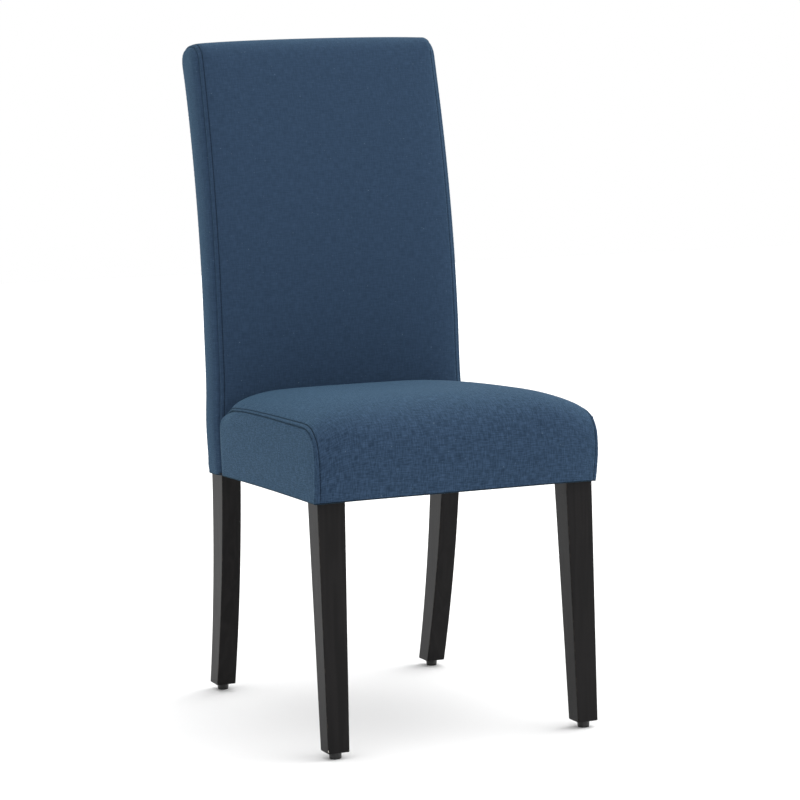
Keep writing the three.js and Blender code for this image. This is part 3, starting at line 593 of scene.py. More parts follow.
# Non-woven lining: short fibres pressed together, with a grid of small weld dots, where the product of
# two sine waves is high.
def liningMaterial():
    look = liningLook
    s = Finish("liningCloth", {"Roughness": 0.95, "Specular IOR Level": 0.2})
    place = s.place()
    across, depth = (part * look["dotScale"] for part in s.parts(place, 2))
    dots = (across.sine() * depth.sine()).between(*look["dotRange"])
    fibres = s.noise(place, look["fibreScale"], 4.0, 0.7)
    colour = s.blend(fibres, look["dark"], look["light"])
    s.feed(Base_Color=s.blend(dots * look["dotShare"], colour, look["dot"]))
    s.bump(fibres * look["fibreHeight"] - dots * look["dotHeight"])
    return s.material


floorLook = {"dark": (0.90, 0.90, 0.90, 1), "light": (0.93, 0.93, 0.93, 1), "cloudScale": 1.3}


# A pale floor with a faint cloudiness.
def floorMaterial():
    look = floorLook
    s = Finish("studioFloor", {"Roughness": 0.9, "Specular IOR Level": 0.1})
    s.feed(Base_Color=s.blend(s.noise(s.place(), look["cloudScale"], 2.0), look["dark"], look["light"]))
    return s.material


finishes = {
    "fabric": fabricMaterial(),
    "thread": threadMaterial(),
    "espresso": woodMaterial("espressoWood", woodLook["espresso"], 2),
    "rawAcross": woodMaterial("rawWoodAcross", woodLook["raw"], 0),
    "rawDeep": woodMaterial("rawWoodDeep", woodLook["raw"], 1),
    "ply": plywoodMaterial(),
    "steel": steelMaterial(),
    "plastic": plasticMaterial(),
    "lining": liningMaterial(),
    "floor": floorMaterial(),
}
print("materials made")


# Cushions. Each is sewn from one long main panel, which wraps over the rear, top and front, and two side
# panels. Two outlines carry the shape: one for the seam and one for the middle of the main panel.

# The main panel's rise across the chair, from 0 at the seam to 1 in the middle. Its form blends by how
# far the seam faces front, up or rear at each place. A form is how far the edge's bend reaches, its
# power and root, and the share of the rise that is a crown over the whole width.
def riseAcross(share, half, forms, weights):
    rise = 0
    for (reach, power, root, crown), weight in zip(forms, weights):
        fromSeam = np.clip((1 - share) * half / reach, 0, 1)
        corner = (1 - (1 - fromSeam) ** power) ** root
        rise = rise + weight[:, None] * ((1 - crown) * corner + crown * (1 - share ** 2))
    return rise


# The steps that the panels are worked out in. A mark is a corner of the seam, and the seam's values blend
# from one stretch to the next over these distances before and after a mark.
panelValues = {
    "acrossSteps": 500, "seamStep": 0.7, "wayReach": 2,
    "rearBlend": (-30, 60), "frontBlend": (-60, 10), "fadeBlend": (-15, 45),
    "weavePitch": 3.0, "hemRings": 5, "far": 60.0, "stitchFade": 0.5,
}


# From 0 to 1 over a blend's distances before and after a mark.
def pastMark(mark, blend, places):
    return smooth(mark + blend[0], mark + blend[1], places)


# Points or values of several grids as one long list, and such a list parted into grids again.
def together(grids):
    return np.concatenate([grid.reshape(-1, *grid.shape[2:]) for grid in grids])


def parted(points, grids):
    ends = np.cumsum([grid.shape[0] * grid.shape[1] for grid in grids])
    return [part.reshape(grid.shape) for part, grid in zip(np.split(points, ends[:-1]), grids)]


class Cushion:
    def __init__(self, values, halfAt, bend, deform):
        self.values = values
        self.halfAt = halfAt
        self.deform = deform
        self.seam, seamCorners = outline(*values["seam"])
        self.middle, middleCorners = outline(*values["middle"])
        self.seam, self.middle = bend(self.seam), bend(self.middle)
        self.seamMarks = lengthAlong(self.seam)[[seamCorners[k] for k in values["seamColumns"]]]
        self.middleMarks = lengthAlong(self.middle)[[middleCorners[k] for k in values["middleColumns"]]]
        self.seamLength = lengthAlong(self.seam)[-1]
        self.middleLength = lengthAlong(self.middle)[-1]

    # Places along the seam: up the rear, over the top and down the front. Rear and front have as many.
    def stations(self, grain):
        rearLength, frontMark = self.seamMarks
        frontLength = self.seamLength - frontMark
        count = int(max(rearLength, frontLength) / grain["coarse"])
        rear = positions(rearLength, grain, count, atStart=False)
        top = rearLength + positions(frontMark - rearLength, grain)
        front = frontMark + frontLength - positions(frontLength, grain, count, atStart=False)[::-1]
        return rear, top, front

    # The way out of the cushion, (y, z), square to the seam.
    def outwards(self, stations):
        reach = panelValues["wayReach"]
        before = pointsAt(self.seam, np.clip(stations - reach, 0, self.seamLength))
        after = pointsAt(self.seam, np.clip(stations + reach, 0, self.seamLength))
        way = unit(after - before)
        return np.stack([way[:, 1], -way[:, 0]], 1)

    # Places along the middle outline that face places along the seam.
    def facingMiddle(self, stations):
        seamPlaces = [0, *self.seamMarks, self.seamLength]
        return np.interp(stations, seamPlaces, [0, *self.middleMarks, self.middleLength])

    # Seam values in the rear, on top and in front, blended by place along the seam.
    def blended(self, values, stations):
        rear, top, front = values
        rearMark, frontMark = self.seamMarks
        beforeFront = mix(rear, top, pastMark(rearMark, panelValues["rearBlend"], stations))
        return mix(beforeFront, front, pastMark(frontMark, panelValues["frontBlend"], stations))

    # The right half of the main panel, a row for each station: from the seam to the middle outline by the
    # rise, in steps that are even over the surface. With it, the distance of its points from the seam.
    def mainHalf(self, stations, grain):
        seam = pointsAt(self.seam, stations)
        middle = pointsAt(self.middle, self.facingMiddle(stations))
        half = (self.halfAt(seam[:, 1]) - self.blended(self.values["insets"], stations))[:, None]
        outward = self.outwards(stations)
        weights = [np.maximum(0, -outward[:, 0]) ** 2, np.maximum(0, outward[:, 1]) ** 2]
        weights.append(1 - weights[0] - weights[1])
        share = 1 - np.linspace(0, 1, panelValues["acrossSteps"])[None] ** 2
        rise = riseAcross(share, half, self.values["forms"], weights)
        y = seam[:, :1] + (middle - seam)[:, :1] * rise
        z = seam[:, 1:] + (middle - seam)[:, 1:] * rise
        surface = np.stack([share * half, y, z], -1)
        steps = np.linalg.norm(np.diff(surface, axis=1), axis=2)
        along = np.concatenate([np.zeros((len(stations), 1)), np.cumsum(steps, 1)], 1)
        widest = along[:, -1].mean()
        wanted = positions(widest, grain, atEnd=False)
        edge = wanted[wanted < grain["reach"]][-1]
        grid = np.empty((len(stations), len(wanted), 3))
        distance = np.empty(grid.shape[:2])
        for k, lengths in enumerate(along):
            stretch = (lengths[-1] - edge) / (widest - edge)
            distance[k] = np.where(wanted <= edge, wanted, edge + (wanted - edge) * stretch)
            grid[k] = valuesAt(lengths, surface[k], distance[k])
        grid[:, -1, 0] = 0
        return grid, distance, 1 - wanted / widest

    # The right side panel, inside the seam and the lower edge: a row for each place of the seam's top
    # stretch, from its lower edge to the seam. It is a Coons patch, the sum of the two blends between
    # facing edges less the blend of its corners, and its width follows its height.
    def sidePanel(self, rear, top, edge):
        rearEdge, topEdge, frontEdge = sideEdges(edge, len(rear), len(top))
        across = (top - top[0]) / (top[-1] - top[0])
        upward = lengthAlong(rearEdge) / lengthAlong(rearEdge)[-1]
        lower = mix(rearEdge[0], frontEdge[0], across[:, None])
        lower[:, 2] += self.values["hemArch"] * np.sin(math.pi * across)
        q, r = across[:, None, None], upward[None, :, None]
        bilinear = mix(mix(rearEdge[0], frontEdge[0], q), mix(rearEdge[-1], frontEdge[-1], q), r)
        grid = mix(lower[:, None], topEdge[:, None], r) + mix(rearEdge[None], frontEdge[None], q) - bilinear
        places = np.arange(0, self.seamLength, panelValues["seamStep"])
        seam = pointsAt(self.seam, places)
        distance = np.empty(grid.shape[:2])
        along = np.empty(grid.shape[:2])
        for k, row in enumerate(grid):
            apart = np.linalg.norm(row[:, None, 1:] - seam[None], axis=2)
            distance[k] = apart.min(1)
            along[k] = places[apart.argmin(1)]
        near = np.clip(1 - distance / self.blended(self.values["reaches"], along), 0, 1)
        inset = self.blended(self.values["insets"], along) * near ** 2
        grid[..., 0] = self.halfAt(grid[..., 2]) - inset
        grid[0], grid[-1], grid[:, -1] = rearEdge, frontEdge, topEdge
        distance[0], distance[-1], distance[:, -1] = 0, 0, 0
        return {"points": grid, "distance": distance, "along": along, "rows": across, "columns": upward}

    # The sewn panels before the seams are pulled in: the main one and the two sides. Each has its points,
    # their distance from the seam, their place along it and their place in the weave, and where the rows
    # and columns lie as shares of the panel.
    def panels(self, grain):
        rear, top, front = self.stations(grain)
        stations = np.concatenate([rear, top[1:], front[1:]])
        half, distance, shares = self.mainHalf(stations, grain)
        left = half * np.array([-1.0, 1.0, 1.0])
        width = distance[:, -1:] - distance
        main = {
            "points": np.concatenate([left, half[:, -2::-1]], 1),
            "distance": np.concatenate([distance, distance[:, -2::-1]], 1),
            "rows": stations / self.seamLength,
            "columns": np.concatenate([-shares, shares[-2::-1]]),
        }
        main["along"] = np.repeat(stations[:, None], main["points"].shape[1], 1)
        upward = np.repeat(self.facingMiddle(stations)[:, None], main["points"].shape[1], 1)
        main["weave"] = np.stack([np.concatenate([-width, width[:, -2::-1]], 1), upward], -1)
        side = self.sidePanel(rear, top, half[:, 0])
        made = [main]
        for hand in (-1, 1):
            panel = dict(side, points=side["points"] * np.array([hand, 1.0, 1.0]))
            panel["weave"] = panel["points"][..., 1:] * np.array([-hand, 1.0])
            made.append(panel)
        return made, len(rear), len(top)

    # The faces of several grids of points, pointing outwards.
    def facesOf(self, grids):
        faces, first = [], 0
        for points in grids:
            made = gridFaces(*points.shape[:2])
            outward = facesOut(points.reshape(-1, 3), made, self.values["heart"])
            faces.append((made if outward else made[:, ::-1]) + first)
            first += points.shape[0] * points.shape[1]
        return np.concatenate(faces), first

    # How far the cover moves when it is blown up over its filling. The cloth starts a little smaller, is
    # closed below by a cap, and is held at its lower edge and behind holdFrom, where the back stands. Its
    # movement is capped and carried over to the fine panels.
    def swelling(self, fine, rearCount, topCount):
        v = clothValues
        coarse, *_ = self.panels(v["grain"])
        grids = [p["points"] for p in coarse]
        faces, first = self.facesOf(grids)
        points = together(grids)
        rim = self.rim(*grids)
        cap = np.concatenate([rim, mix(rim, rim.mean(0), 0.5), np.repeat(rim.mean(0)[None], len(rim), 0)])
        capFaces = gridFaces(3, len(rim), first, closed=True)[:, ::-1]
        distance = together([p["distance"] for p in coarse])
        held = mix(v["seamHold"], v["hold"], smooth(0, v["seamReach"], distance))
        held = mix(1, held, smooth(0, v["heldHeight"], points[:, 2] - seatBottom))
        held = mix(held, 1, pastMark(self.values["holdFrom"], (0, v["holdReach"]), points[:, 1]))
        outward = normalsOf(points, faces) * np.minimum(1, (1 - held) / (1 - v["seamHold"]))[:, None]
        started = np.concatenate([points - v["shrink"] * outward, cap])
        held = np.concatenate([held, np.ones(len(cap))])
        change = blownUp(started, np.concatenate([faces, capFaces]), held)[:len(points)] - points
        far = np.linalg.norm(change, axis=1)
        print("cover swelled", np.round([(change * outward).sum(1).mean(), far.max()], 2))
        change *= np.minimum(1, v["cap"] / np.maximum(far, 1e-6))[:, None]
        changes = []
        for grid, known, wanted in zip(parted(change, grids), coarse, fine):
            grid = through(known["rows"], grid, wanted["rows"]).swapaxes(0, 1)
            changes.append(through(known["columns"], grid, wanted["columns"]).swapaxes(0, 1))
        for side, column in ((1, 0), (2, -1)):
            edges = sideEdges(changes[0][:, column], rearCount, topCount)
            changes[side][0], changes[side][:, -1], changes[side][-1] = edges
        return changes

    # The lower edge all the way round, counterclockwise from above, without a repeated point.
    def rim(self, main, left, right):
        front, rear = main[-1, :-1], main[0, ::-1][:-1]
        return np.concatenate([left[:-1, 0], front, right[::-1, 0][:-1], rear])

    # From the lower edge: the folded hem, the turn back to the wall, the hollow round the frame.
    def underside(self, rim):
        way = np.roll(rim, -2, 0) - np.roll(rim, 2, 0)
        inward = unit(np.stack([-way[:, 1], way[:, 0], 0 * way[:, 0]], 1))
        rings = [rim + inward * a + skyward * b for a, b in self.values["hem"]]
        low, high = rim.min(0), rim.max(0)
        share = (rim - low) / (high - low)
        for z, half, front, rear in self.values["hollow"]:
            x = mix(-half, half, share[:, 0])
            rings.append(np.stack([x, mix(front, rear, share[:, 1]), np.full(len(rim), z)], 1))
        rings.append(np.repeat(rings[-1].mean(0)[None], len(rim), 0))
        return np.stack(rings)

    # The whole cover: its panels, blown up, with the seams drawn in after that, and its underside.
    def make(self, name, grain):
        v = panelValues
        panels, rearCount, topCount = self.panels(grain)
        for panel, change in zip(panels, self.swelling(panels, rearCount, topCount)):
            panel["points"] = panel["points"] + change
        flat = [p["points"] for p in panels]
        faces, first = self.facesOf(flat)
        points = together(flat)
        keys = ("weave", "distance", "along")
        weave, distance, place = (together([p[key] for p in panels]) for key in keys)
        normal = normalsOf(points, faces)
        onMain = np.arange(len(points)) < flat[0].shape[0] * flat[0].shape[1]
        depth = seamDisplacement(distance, place, onMain)
        stitchDistance = np.where(onMain, np.abs(distance - seamShape["stitchDistance"]), v["far"])
        points = self.deform(points + normal * depth[:, None])
        grids = parted(points, flat)
        under = self.underside(self.rim(*grids))
        underFaces = gridFaces(*under.shape[:2], first, closed=True)[:, ::-1]
        ring, deep = np.meshgrid(np.arange(under.shape[1]), np.arange(under.shape[0]))
        underWeave = np.stack([ring, deep], -1).reshape(-1, 2) * v["weavePitch"]
        # The fade adds to both distances, which weakens the painted shade of the seam and topstitch: on the
        # whole back, and on the seat past the front corner of its seam.
        fade = self.values["frontFade"] * pastMark(self.seamMarks[1], v["fadeBlend"], place)
        fade = self.values["seamFade"] + fade
        # The first rings of the underside are the hem's fold, given the same painted shade as the seam.
        far = np.where(deep.ravel() < v["hemRings"], 0.0, v["far"])
        piece = meshFrom(
            name, np.concatenate([points, under.reshape(-1, 3)]), np.concatenate([faces, underFaces]),
            finishes["fabric"], uv=np.concatenate([weave, underWeave]) * mm,
            values={"seamDistance": np.concatenate([distance + fade, far]),
                    "stitchDistance": np.concatenate([stitchDistance + fade * v["stitchFade"], far]),
                    "texture": np.full(len(points) + len(far), self.values["texture"])},
        )
        self.stitches(name + "Thread", grids[0], parted(normal, flat)[0], panels[0]["distance"][0])
        return piece

    # Topstitches: short arched threads along the main panel, a set distance inside the seam.
    def stitches(self, name, grid, normals, distance):
        s = stitchShape
        column = int(np.argmin(np.abs(distance - seamShape["stitchDistance"])))
        made = []
        for at in (column, grid.shape[1] - 1 - column):
            line, out = grid[:, at], normals[:, at]
            along = lengthAlong(line)
            starts = np.arange(s["margin"], along[-1] - s["margin"], s["length"] + s["gap"])
            shares = np.linspace(0, 1, s["rings"])
            places = (starts[:, None] + shares[None] * s["length"]).ravel()
            outwards = valuesAt(along, out, places)
            way = unit(pointsAt(line, places + s["wayReach"]) - pointsAt(line, places - s["wayReach"]))
            arch = np.tile(np.sin(math.pi * shares), len(starts))
            radius = s["radius"] * (s["endShare"] + (1 - s["endShare"]) * arch ** 0.5)
            centre = pointsAt(line, places) + outwards * (arch * s["arch"] - s["sink"])[:, None]
            rings = ringsRound(centre, np.cross(way, outwards), outwards, radius, s["sides"])
            made.append(rings.reshape(len(starts), -1, 3))
        made = np.concatenate(made)
        faces = gridsOfFaces(len(made), s["rings"], s["sides"])
        piece = meshFrom(name, made.reshape(-1, 3), faces, finishes["thread"])
        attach(piece, "chair")


stitchShape = {
    "length": 3.4, "gap": 1.0, "margin": 3.0, "radius": 0.32, "endShare": 0.35,
    "arch": 0.32, "sink": 0.05, "wayReach": 0.3, "rings": 5, "sides": 6,
}


# Values along a seam, parted into the rear, top and front edges of the panel inside it.
def sideEdges(values, rearCount, topCount):
    top = rearCount + topCount - 1
    return values[:rearCount], values[rearCount - 1:top], values[top - 1:][::-1]


# Cloth: the cover is blown up over its filling, which holds each point softly at its place. The solver
# runs on a coarse mesh, whose object is taken away again when it has been read.
clothValues = {
    "grain": {"fine": 6.5, "reach": 13.5, "coarse": 12.0}, "pressure": 4.0, "frames": 20, "cap": 4.0,
    "hold": 0.2, "seamHold": 0.5, "seamReach": 12, "heldHeight": 30, "holdReach": 20,
    "shrink": 1.0, "stiffness": 15.0, "bending": 1.0, "filling": 1.0,
}


# Where the points are after the last frame, in millimetres.
def blownUp(points, faces, held):
    v = clothValues
    first, place = joined(points)
    corners = [tuple(dict.fromkeys(place[face])) for face in faces]
    mesh = bpy.data.meshes.new("coverCloth")
    mesh.from_pydata(points[first] * mm, [], [c for c in corners if len(c) > 2])
    cover = placed("coverCloth", mesh)
    group = cover.vertex_groups.new(name="held")
    for number, weight in enumerate(held[first]):
        group.add([number], float(weight), "REPLACE")
    cloth = cover.modifiers.new("cloth", "CLOTH")
    cloth.settings.use_pressure = True
    cloth.settings.uniform_pressure_force = v["pressure"]
    cloth.settings.tension_stiffness = cloth.settings.compression_stiffness = v["stiffness"]
    cloth.settings.bending_stiffness = v["bending"]
    cloth.settings.vertex_group_mass = "held"
    cloth.settings.pin_stiffness = v["filling"]
    cloth.settings.effector_weights.gravity = 0
    cloth.point_cache.frame_start = 1
    cloth.point_cache.frame_end = v["frames"]
    for moment in range(1, v["frames"] + 1):
        bpy.context.scene.frame_set(moment)
    settled = cover.evaluated_get(bpy.context.evaluated_depsgraph_get()).data
    moved = np.empty(len(first) * 3)
    settled.vertices.foreach_get("co", moved)
    bpy.data.objects.remove(cover)
    bpy.context.scene.frame_set(1)
    return (moved.reshape(-1, 3) / mm)[place]


# Whether a panel's faces point away from the middle of its piece.
def facesOut(points, faces, heart):
    a, b, c, d = (points[faces[:, k]] for k in range(4))
    return (np.cross(c - a, d - b) * ((a + c) / 2 - np.array(heart))).sum() > 0


cushionGrain = {"fine": 0.8, "reach": 12.5, "coarse": 3.0}

# The seat. The seam starts at the lower edge in the rear, rises behind the corner, runs forward along
# the side and turns down beside the front corner. The columns are the corners of the two outlines that
# face each other. Forms are for the front, the top and the rear; insets and reaches are for the rear, the
# top and the front. The hem's points are distances inwards and up, and a ring of the hollow is its
# height, half width, front and rear.
seatValues = {
    "seam": ((427.6, seatBottom + 1.2), [
        (428.6, 457.0, 23, 150, 2.0),
        (225, 457.8, 50, 80, 2.0),
        (-13.6, 451.7, 60, 43, 2.6),
        (-13.6, 386, 15, 18, 2.0),
    ], (-4.6, seatBottom + 0.9)),
    "seamColumns": (0, 2),
    "middle": ((431.6, seatBottom + 1.2), [
        (434.4, 385, 14, 20, 2.0),
        (428.6, 476.0, 14, 16, 2.2),
        (250, 481.5, 90, 60, 2.0),
        (-23, 485.4, 150, 60, 2.7),
        (-24.4, 386, 20, 18, 2.0),
    ], (-17.5, seatBottom + 3.4)),
    "middleColumns": (1, 3),
    "forms": [(90, 2.3, 0.9, 0.0), (120, 2.5, 0.69, 0.0), (12, 2.0, 0.68, 0.1)],
    "insets": (15, 2.5, 0), "reaches": (33, 11, 10), "hemArch": 1.4, "holdFrom": 400,
    "heart": (0, 200, 400), "seamFade": 0.0, "frontFade": 1.1, "texture": 1.2,
    "hem": [(0, 0), (0.05, -0.2), (0.1, -1.0), (0.4, -1.7), (1.1, -2.0), (9, -1.4), (15, -1.1), (15, 0.7),
            (3.6, 0.9)],
    "hollow": [(433, 206.2, -13.5, 421)],
}


# The seat's sides stand out most at the bulge and draw in above and below it.
seatBulge = {"height": 400, "low": 1.4, "high": 1.2, "top": 458}


# The seat's half width: less by the square of the height above or below the bulge.
def seatHalfAt(z):
    b = seatBulge
    below = b["low"] * (np.clip(b["height"] - z, 0, None) / (b["height"] - seatBottom)) ** 2
    above = b["high"] * (np.clip(z - b["height"], 0, None) / (b["top"] - b["height"])) ** 2
    return seatHalf - below - above


# The seat's outlines aren't bent.
def unchanged(points):
    return points


seat = Cushion(seatValues, seatHalfAt, unchanged, unchanged)
seatPiece = seat.make("seatCushion", cushionGrain)
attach(seatPiece, "chair")
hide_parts("seat_cover", "seat_foam", "seat_side_pad_left", "seat_side_pad_right",
            "seat_front_pad")
print("seat made", len(seatPiece.data.polygons))


# The back leans away above the waist, its rear face more tightly than its front face. Below, the rear
# face follows the sweep of the legs. Arcs are drawn as parabolas: the height squared over twice the radius.
rakeValues = {
    "start": 563, "front": 432.6, "thickness": 64, "frontRadius": 1710, "rearRadius": 1290,
    "postRear": 490, "sweepTop": 482, "sweepRadius": 1470,
}


# The depth of such an arc, by the distance past its start.
def arcDepth(past, radius):
    return np.maximum(past, 0) ** 2 / (2 * radius)


# The back, whose values mean the same as the seat's. Below them are its width, its top and its hollow.
backValues = {
    "seam": ((489.5, seatBottom - 2.2), [
        (493.4, 380, 10, 20, 2.0),
        (493.4, 1000, 36, 32, 2.3),
        (437.8, 1000, 19, 22, 2.0),
        (437.8, 380, 20, 10, 2.0),
    ], (438.6, seatBottom - 2.2)),
    "seamColumns": (1, 2),
    "middle": ((492.6, seatBottom - 1.5), [
        (496.6, 380, 12, 20, 2.0),
        (496.6, 1005, 34, 34, 2.3),
        (429.6, 1005, 19, 22, 2.0),
        (429.6, 380, 20, 12, 2.0),
    ], (432.6, seatBottom - 1.5)),
    "middleColumns": (1, 2),
    "forms": [(13.4, 2.0, 1.0, 0.36), (12, 2.0, 1.0, 0.08), (10, 2.0, 1.0, 0.12)],
    "insets": (4.6, 3.2, 7.6), "reaches": (11, 14, 17), "hemArch": 0.0, "holdFrom": 900,
    "heart": (0, 470, 700), "seamFade": 1.0, "frontFade": 0.0, "texture": 0.5,
    "hem": [(0, 0), (0.05, -0.2), (0.1, -1.0), (0.4, -1.7), (1.1, -2.0), (2.2, 0.4)],
    "half": 204.8, "bottomDraw": 0.8, "drawHeight": 6, "taper": 4, "top": 1005,
    "waist": 2.4, "waistHeight": 425, "waistReach": 45,
    "arch": 2.0, "rise": 0.9, "slant": 3.1, "archReach": 60,
    "hollowHeights": (428, 446, 500, 563, 640, 720, 800, 880, 940, 987.6), "hollowLow": 2.5,
    "hollowHalf": 197.4, "lowFront": 443.4, "lowTop": 436, "hollowDepth": 32.6, "behindPosts": 0.6,
    "leanFrom": 520.0,
}


# The lean of the front and rear face, mixed by how deep in the back a point lies, and the sweep below.
def rake(points):
    r = rakeValues
    above = points[:, 1] - r["start"]
    share = (points[:, 0] - r["front"]) / r["thickness"]
    bent = points.copy()
    bent[:, 0] += mix(arcDepth(above, r["frontRadius"]), arcDepth(above, r["rearRadius"]), share)
    bent[:, 0] += arcDepth(r["sweepTop"] - points[:, 1], r["sweepRadius"]) * np.clip(share, 0, 1)
    return bent


# The back's half width: a bell-shaped fullness near the seat, drawn in at the lower edge, and a straight
# taper above the waist.
def backHalfAt(z):
    b = backValues
    low = 1 - smooth(seatBottom, seatBottom + b["drawHeight"], z)
    lean = np.clip((z - rakeValues["start"]) / (b["top"] - rakeValues["start"]), 0, None)
    waist = b["waist"] * np.exp(-((z - b["waistHeight"]) / b["waistReach"]) ** 2)
    return b["half"] + waist - b["bottomDraw"] * low - b["taper"] * lean


# The back's top arches a little in the middle and slants down a little to the left.
def backDeform(points):
    b = backValues
    moved = points.copy()
    near = smooth(b["top"] - b["archReach"], b["top"], points[:, 2])
    across = points[:, 0] / b["half"]
    moved[:, 2] += near * (b["rise"] + b["slant"] * across + b["arch"] * (1 - across ** 2))
    return moved


# The posts' rear face by height: the legs' sweep, an upright stretch and the rake.
def postRear(z):
    r = rakeValues
    sweep = arcDepth(r["sweepTop"] - z, r["sweepRadius"])
    return r["postRear"] + sweep + arcDepth(z - r["start"], r["rearRadius"])


# The hollow follows the posts, with a little room round them.
def backHollow():
    b = backValues
    rings = []
    for z in (seatBottom + b["hollowLow"], *b["hollowHeights"]):
        lean = b["half"] - backHalfAt(max(z, b["leanFrom"]))
        front = b["lowFront"] if z < b["lowTop"] else postRear(z) - b["hollowDepth"]
        rings.append((z, b["hollowHalf"] - lean, front, postRear(z) + b["behindPosts"]))
    return rings


backValues["hollow"] = backHollow()
back = Cushion(backValues, backHalfAt, rake, backDeform)
backPiece = back.make("backCushion", cushionGrain)
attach(backPiece, "chair")
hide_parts("back_cover", "back_foam", "back_top_pad", "back_rear_pad", "back_side_pad_left",
            "back_side_pad_right")
print("back made", len(backPiece.data.polygons))


# Legs and posts

legValues = {
    "footWidth": 31, "width": 40, "outerHalf": 205.5, "footInset": 1.6, "top": 420, "edge": 1.4,
    "postWidth": 30, "postInner": 167, "postInset": 4.5, "postFootDepth": 36.5, "postFront": 444,
    "postBackDepth": 28, "postTop": 987, "narrowFrom": 428, "narrowTo": 456,
    "endRound": 1.0, "endShares": (0.0, 0.35, 0.7, 1.0),
    "bore": [(8.3, 0.0), (8.3, 1.9), (6.8, 1.9), (6.8, 15.3), (4.3, 15.3), (4.3, 36)],
    "firstRing": 4, "rings": 70, "lastRings": 390, "postLow": 370, "postRings": 60,
}


# The ring of an eased rectangle: how many points a corner has, where those of a flat lie along it, and how
# much of an edge the flat's points and a corner's end points are.
ringValues = {"perCorner": 5, "flats": (0.05, 0.35, 0.65, 0.95), "flatEdge": (0.35, 0, 0, 0.35),
              "cornerEdge": 0.5}


# A rectangle with eased edges as a ring of points: a quarter of a circle at each corner, and extra points
# beside it that keep the faces flat.
def easedRectangle(left, right, front, rear, z, radius):
    v = ringValues
    left, right, front, rear = left + radius, right - radius, front + radius, rear - radius
    centres = [(left, front, 180), (right, front, 270), (right, rear, 0), (left, rear, 90)]
    bends = [levelRing((x, y), radius, np.radians(np.linspace(start, start + 90, v["perCorner"])), z)
             for x, y, start in centres]
    ring = []
    for bend, following in zip(bends, bends[1:] + bends[:1]):
        flat = [mix(bend[-1], following[0], share) for share in v["flats"]]
        ring += [bend, flat]
    return np.concatenate(ring)


# How much of an edge each point of such a ring is: half a sine wave over a corner, up to 1 in its middle.
def edgeStrength():
    v = ringValues
    corner = mix(v["cornerEdge"], 1, np.sin(np.linspace(0, math.pi, v["perCorner"])))
    return np.tile(np.concatenate([corner, v["flatEdge"]]), 4)


# A leg or post, from the inside of its bore, over its rounded end and up through eased rectangles.
def legBody(name, node, sectionAt, heights, footPlace):
    v = legValues
    ringEnd = easedRectangle(*sectionAt(legEnd), legEnd, v["edge"])
    angles = np.arctan2(ringEnd[:, 1] - footPlace[1], ringEnd[:, 0] - footPlace[0])
    rings = [levelRing(footPlace, radius, angles, legEnd + depth) for radius, depth in v["bore"][::-1]]
    for share in v["endShares"]:
        angle = share * math.pi / 2
        inset, z = v["endRound"] * (1 - math.sin(angle)), legEnd + v["endRound"] * (1 - math.cos(angle))
        left, right, front, rear = sectionAt(z)
        rings.append(easedRectangle(left + inset, right - inset, front + inset, rear - inset, z, v["edge"]))
    rings += [easedRectangle(*sectionAt(z), z, v["edge"]) for z in heights]
    strength = edgeStrength()
    inBore = len(v["bore"]) + 1
    plain = np.zeros(len(strength))
    values = {"edge": np.concatenate([plain] * inBore + [strength] * (len(rings) + 2 - inBore)),
              "chip": np.tile(plain, len(rings) + 2)}
    if node == "front_leg_left":
        values["chip"] = chipsAt(np.concatenate([rings[0], *rings, rings[-1]]))
    piece = ringBody(name, rings, finishes["espresso"], values=values)
    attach(piece, "chair")
    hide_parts(node)


# Small chips in the stain on the front left leg's front left edge, near the floor: each a place and how
# far it reaches, and all a little longer than wide.
chipValues = {"places": [(-204, 0, 45, 1.3), (-204, 0, 13, 1.6), (-204, 0, 16, 1.5)], "longer": 1.6}


# A chip fades evenly with the distance from its place, to nothing at twice its reach.
def chipsAt(points):
    strength = np.zeros(len(points))
    for x, y, z, reach in chipValues["places"]:
        apart = (points - np.array([x, y, z])) / np.array([1, 1, chipValues["longer"]])
        apart = np.linalg.norm(apart, axis=1)
        strength = np.maximum(strength, 1 - apart / (2 * reach))
    return np.clip(strength, 0, 1)


# The section of a front leg by height, as left, right, front and rear: square, tapered on the inner faces.
def frontSection(side):
    v = legValues

    def at(z):
        share = min(1, (z - legEnd) / (seatBottom - legEnd))
        width = mix(v["footWidth"], v["width"], share)
        outer = v["outerHalf"] - v["footInset"] * (1 - share)
        return (*sorted((side * (outer - width), side * outer)), 0, width)

    return at


# The section of a rear leg and post: swept and tapered below the seat, upright in front behind it, and
# raked with the back above.
def postSection(side):
    v = legValues

    def at(z):
        share = min(1, (z - legEnd) / (seatBottom - legEnd))
        inner = v["postInner"] - v["postInset"] * (1 - share)
        start = rakeValues["start"]
        lean = backValues["taper"] * max(0, (z - start) / (backValues["top"] - start))
        depth = mix(v["postFootDepth"], postRear(seatBottom) - v["postFront"], share)
        front = postRear(z) - depth
        if z > seatBottom:
            step = smooth(v["narrowFrom"], v["narrowTo"], z)
            front = mix(v["postFront"], postRear(z) - v["postBackDepth"], step)
        return (*sorted((side * inner, side * (inner + v["postWidth"] - lean))), front, postRear(z))

    return at


# Each foot is in the middle of its leg's end.
def makeLegs():
    v = legValues
    below = np.linspace(legEnd + v["firstRing"], seatBottom, v["rings"])
    kinds = (("front", "front_leg_", frontSection, (v["lastRings"], v["top"])),
             ("rear", "rear_post_", postSection, np.linspace(v["postLow"], v["postTop"], v["postRings"])))
    places = {}
    for side, hand in ((-1, "left"), (1, "right")):
        for end, node, section, above in kinds:
            at = section(side)
            left, right, front, rear = at(legEnd)
            place = ((left + right) / 2, (front + rear) / 2)
            places[end + "_" + hand] = place
            legBody(end + "Leg" + hand.capitalize(), node + hand, at, [*below, *above], place)
    return places


footPlaces = makeLegs()
print("legs made")


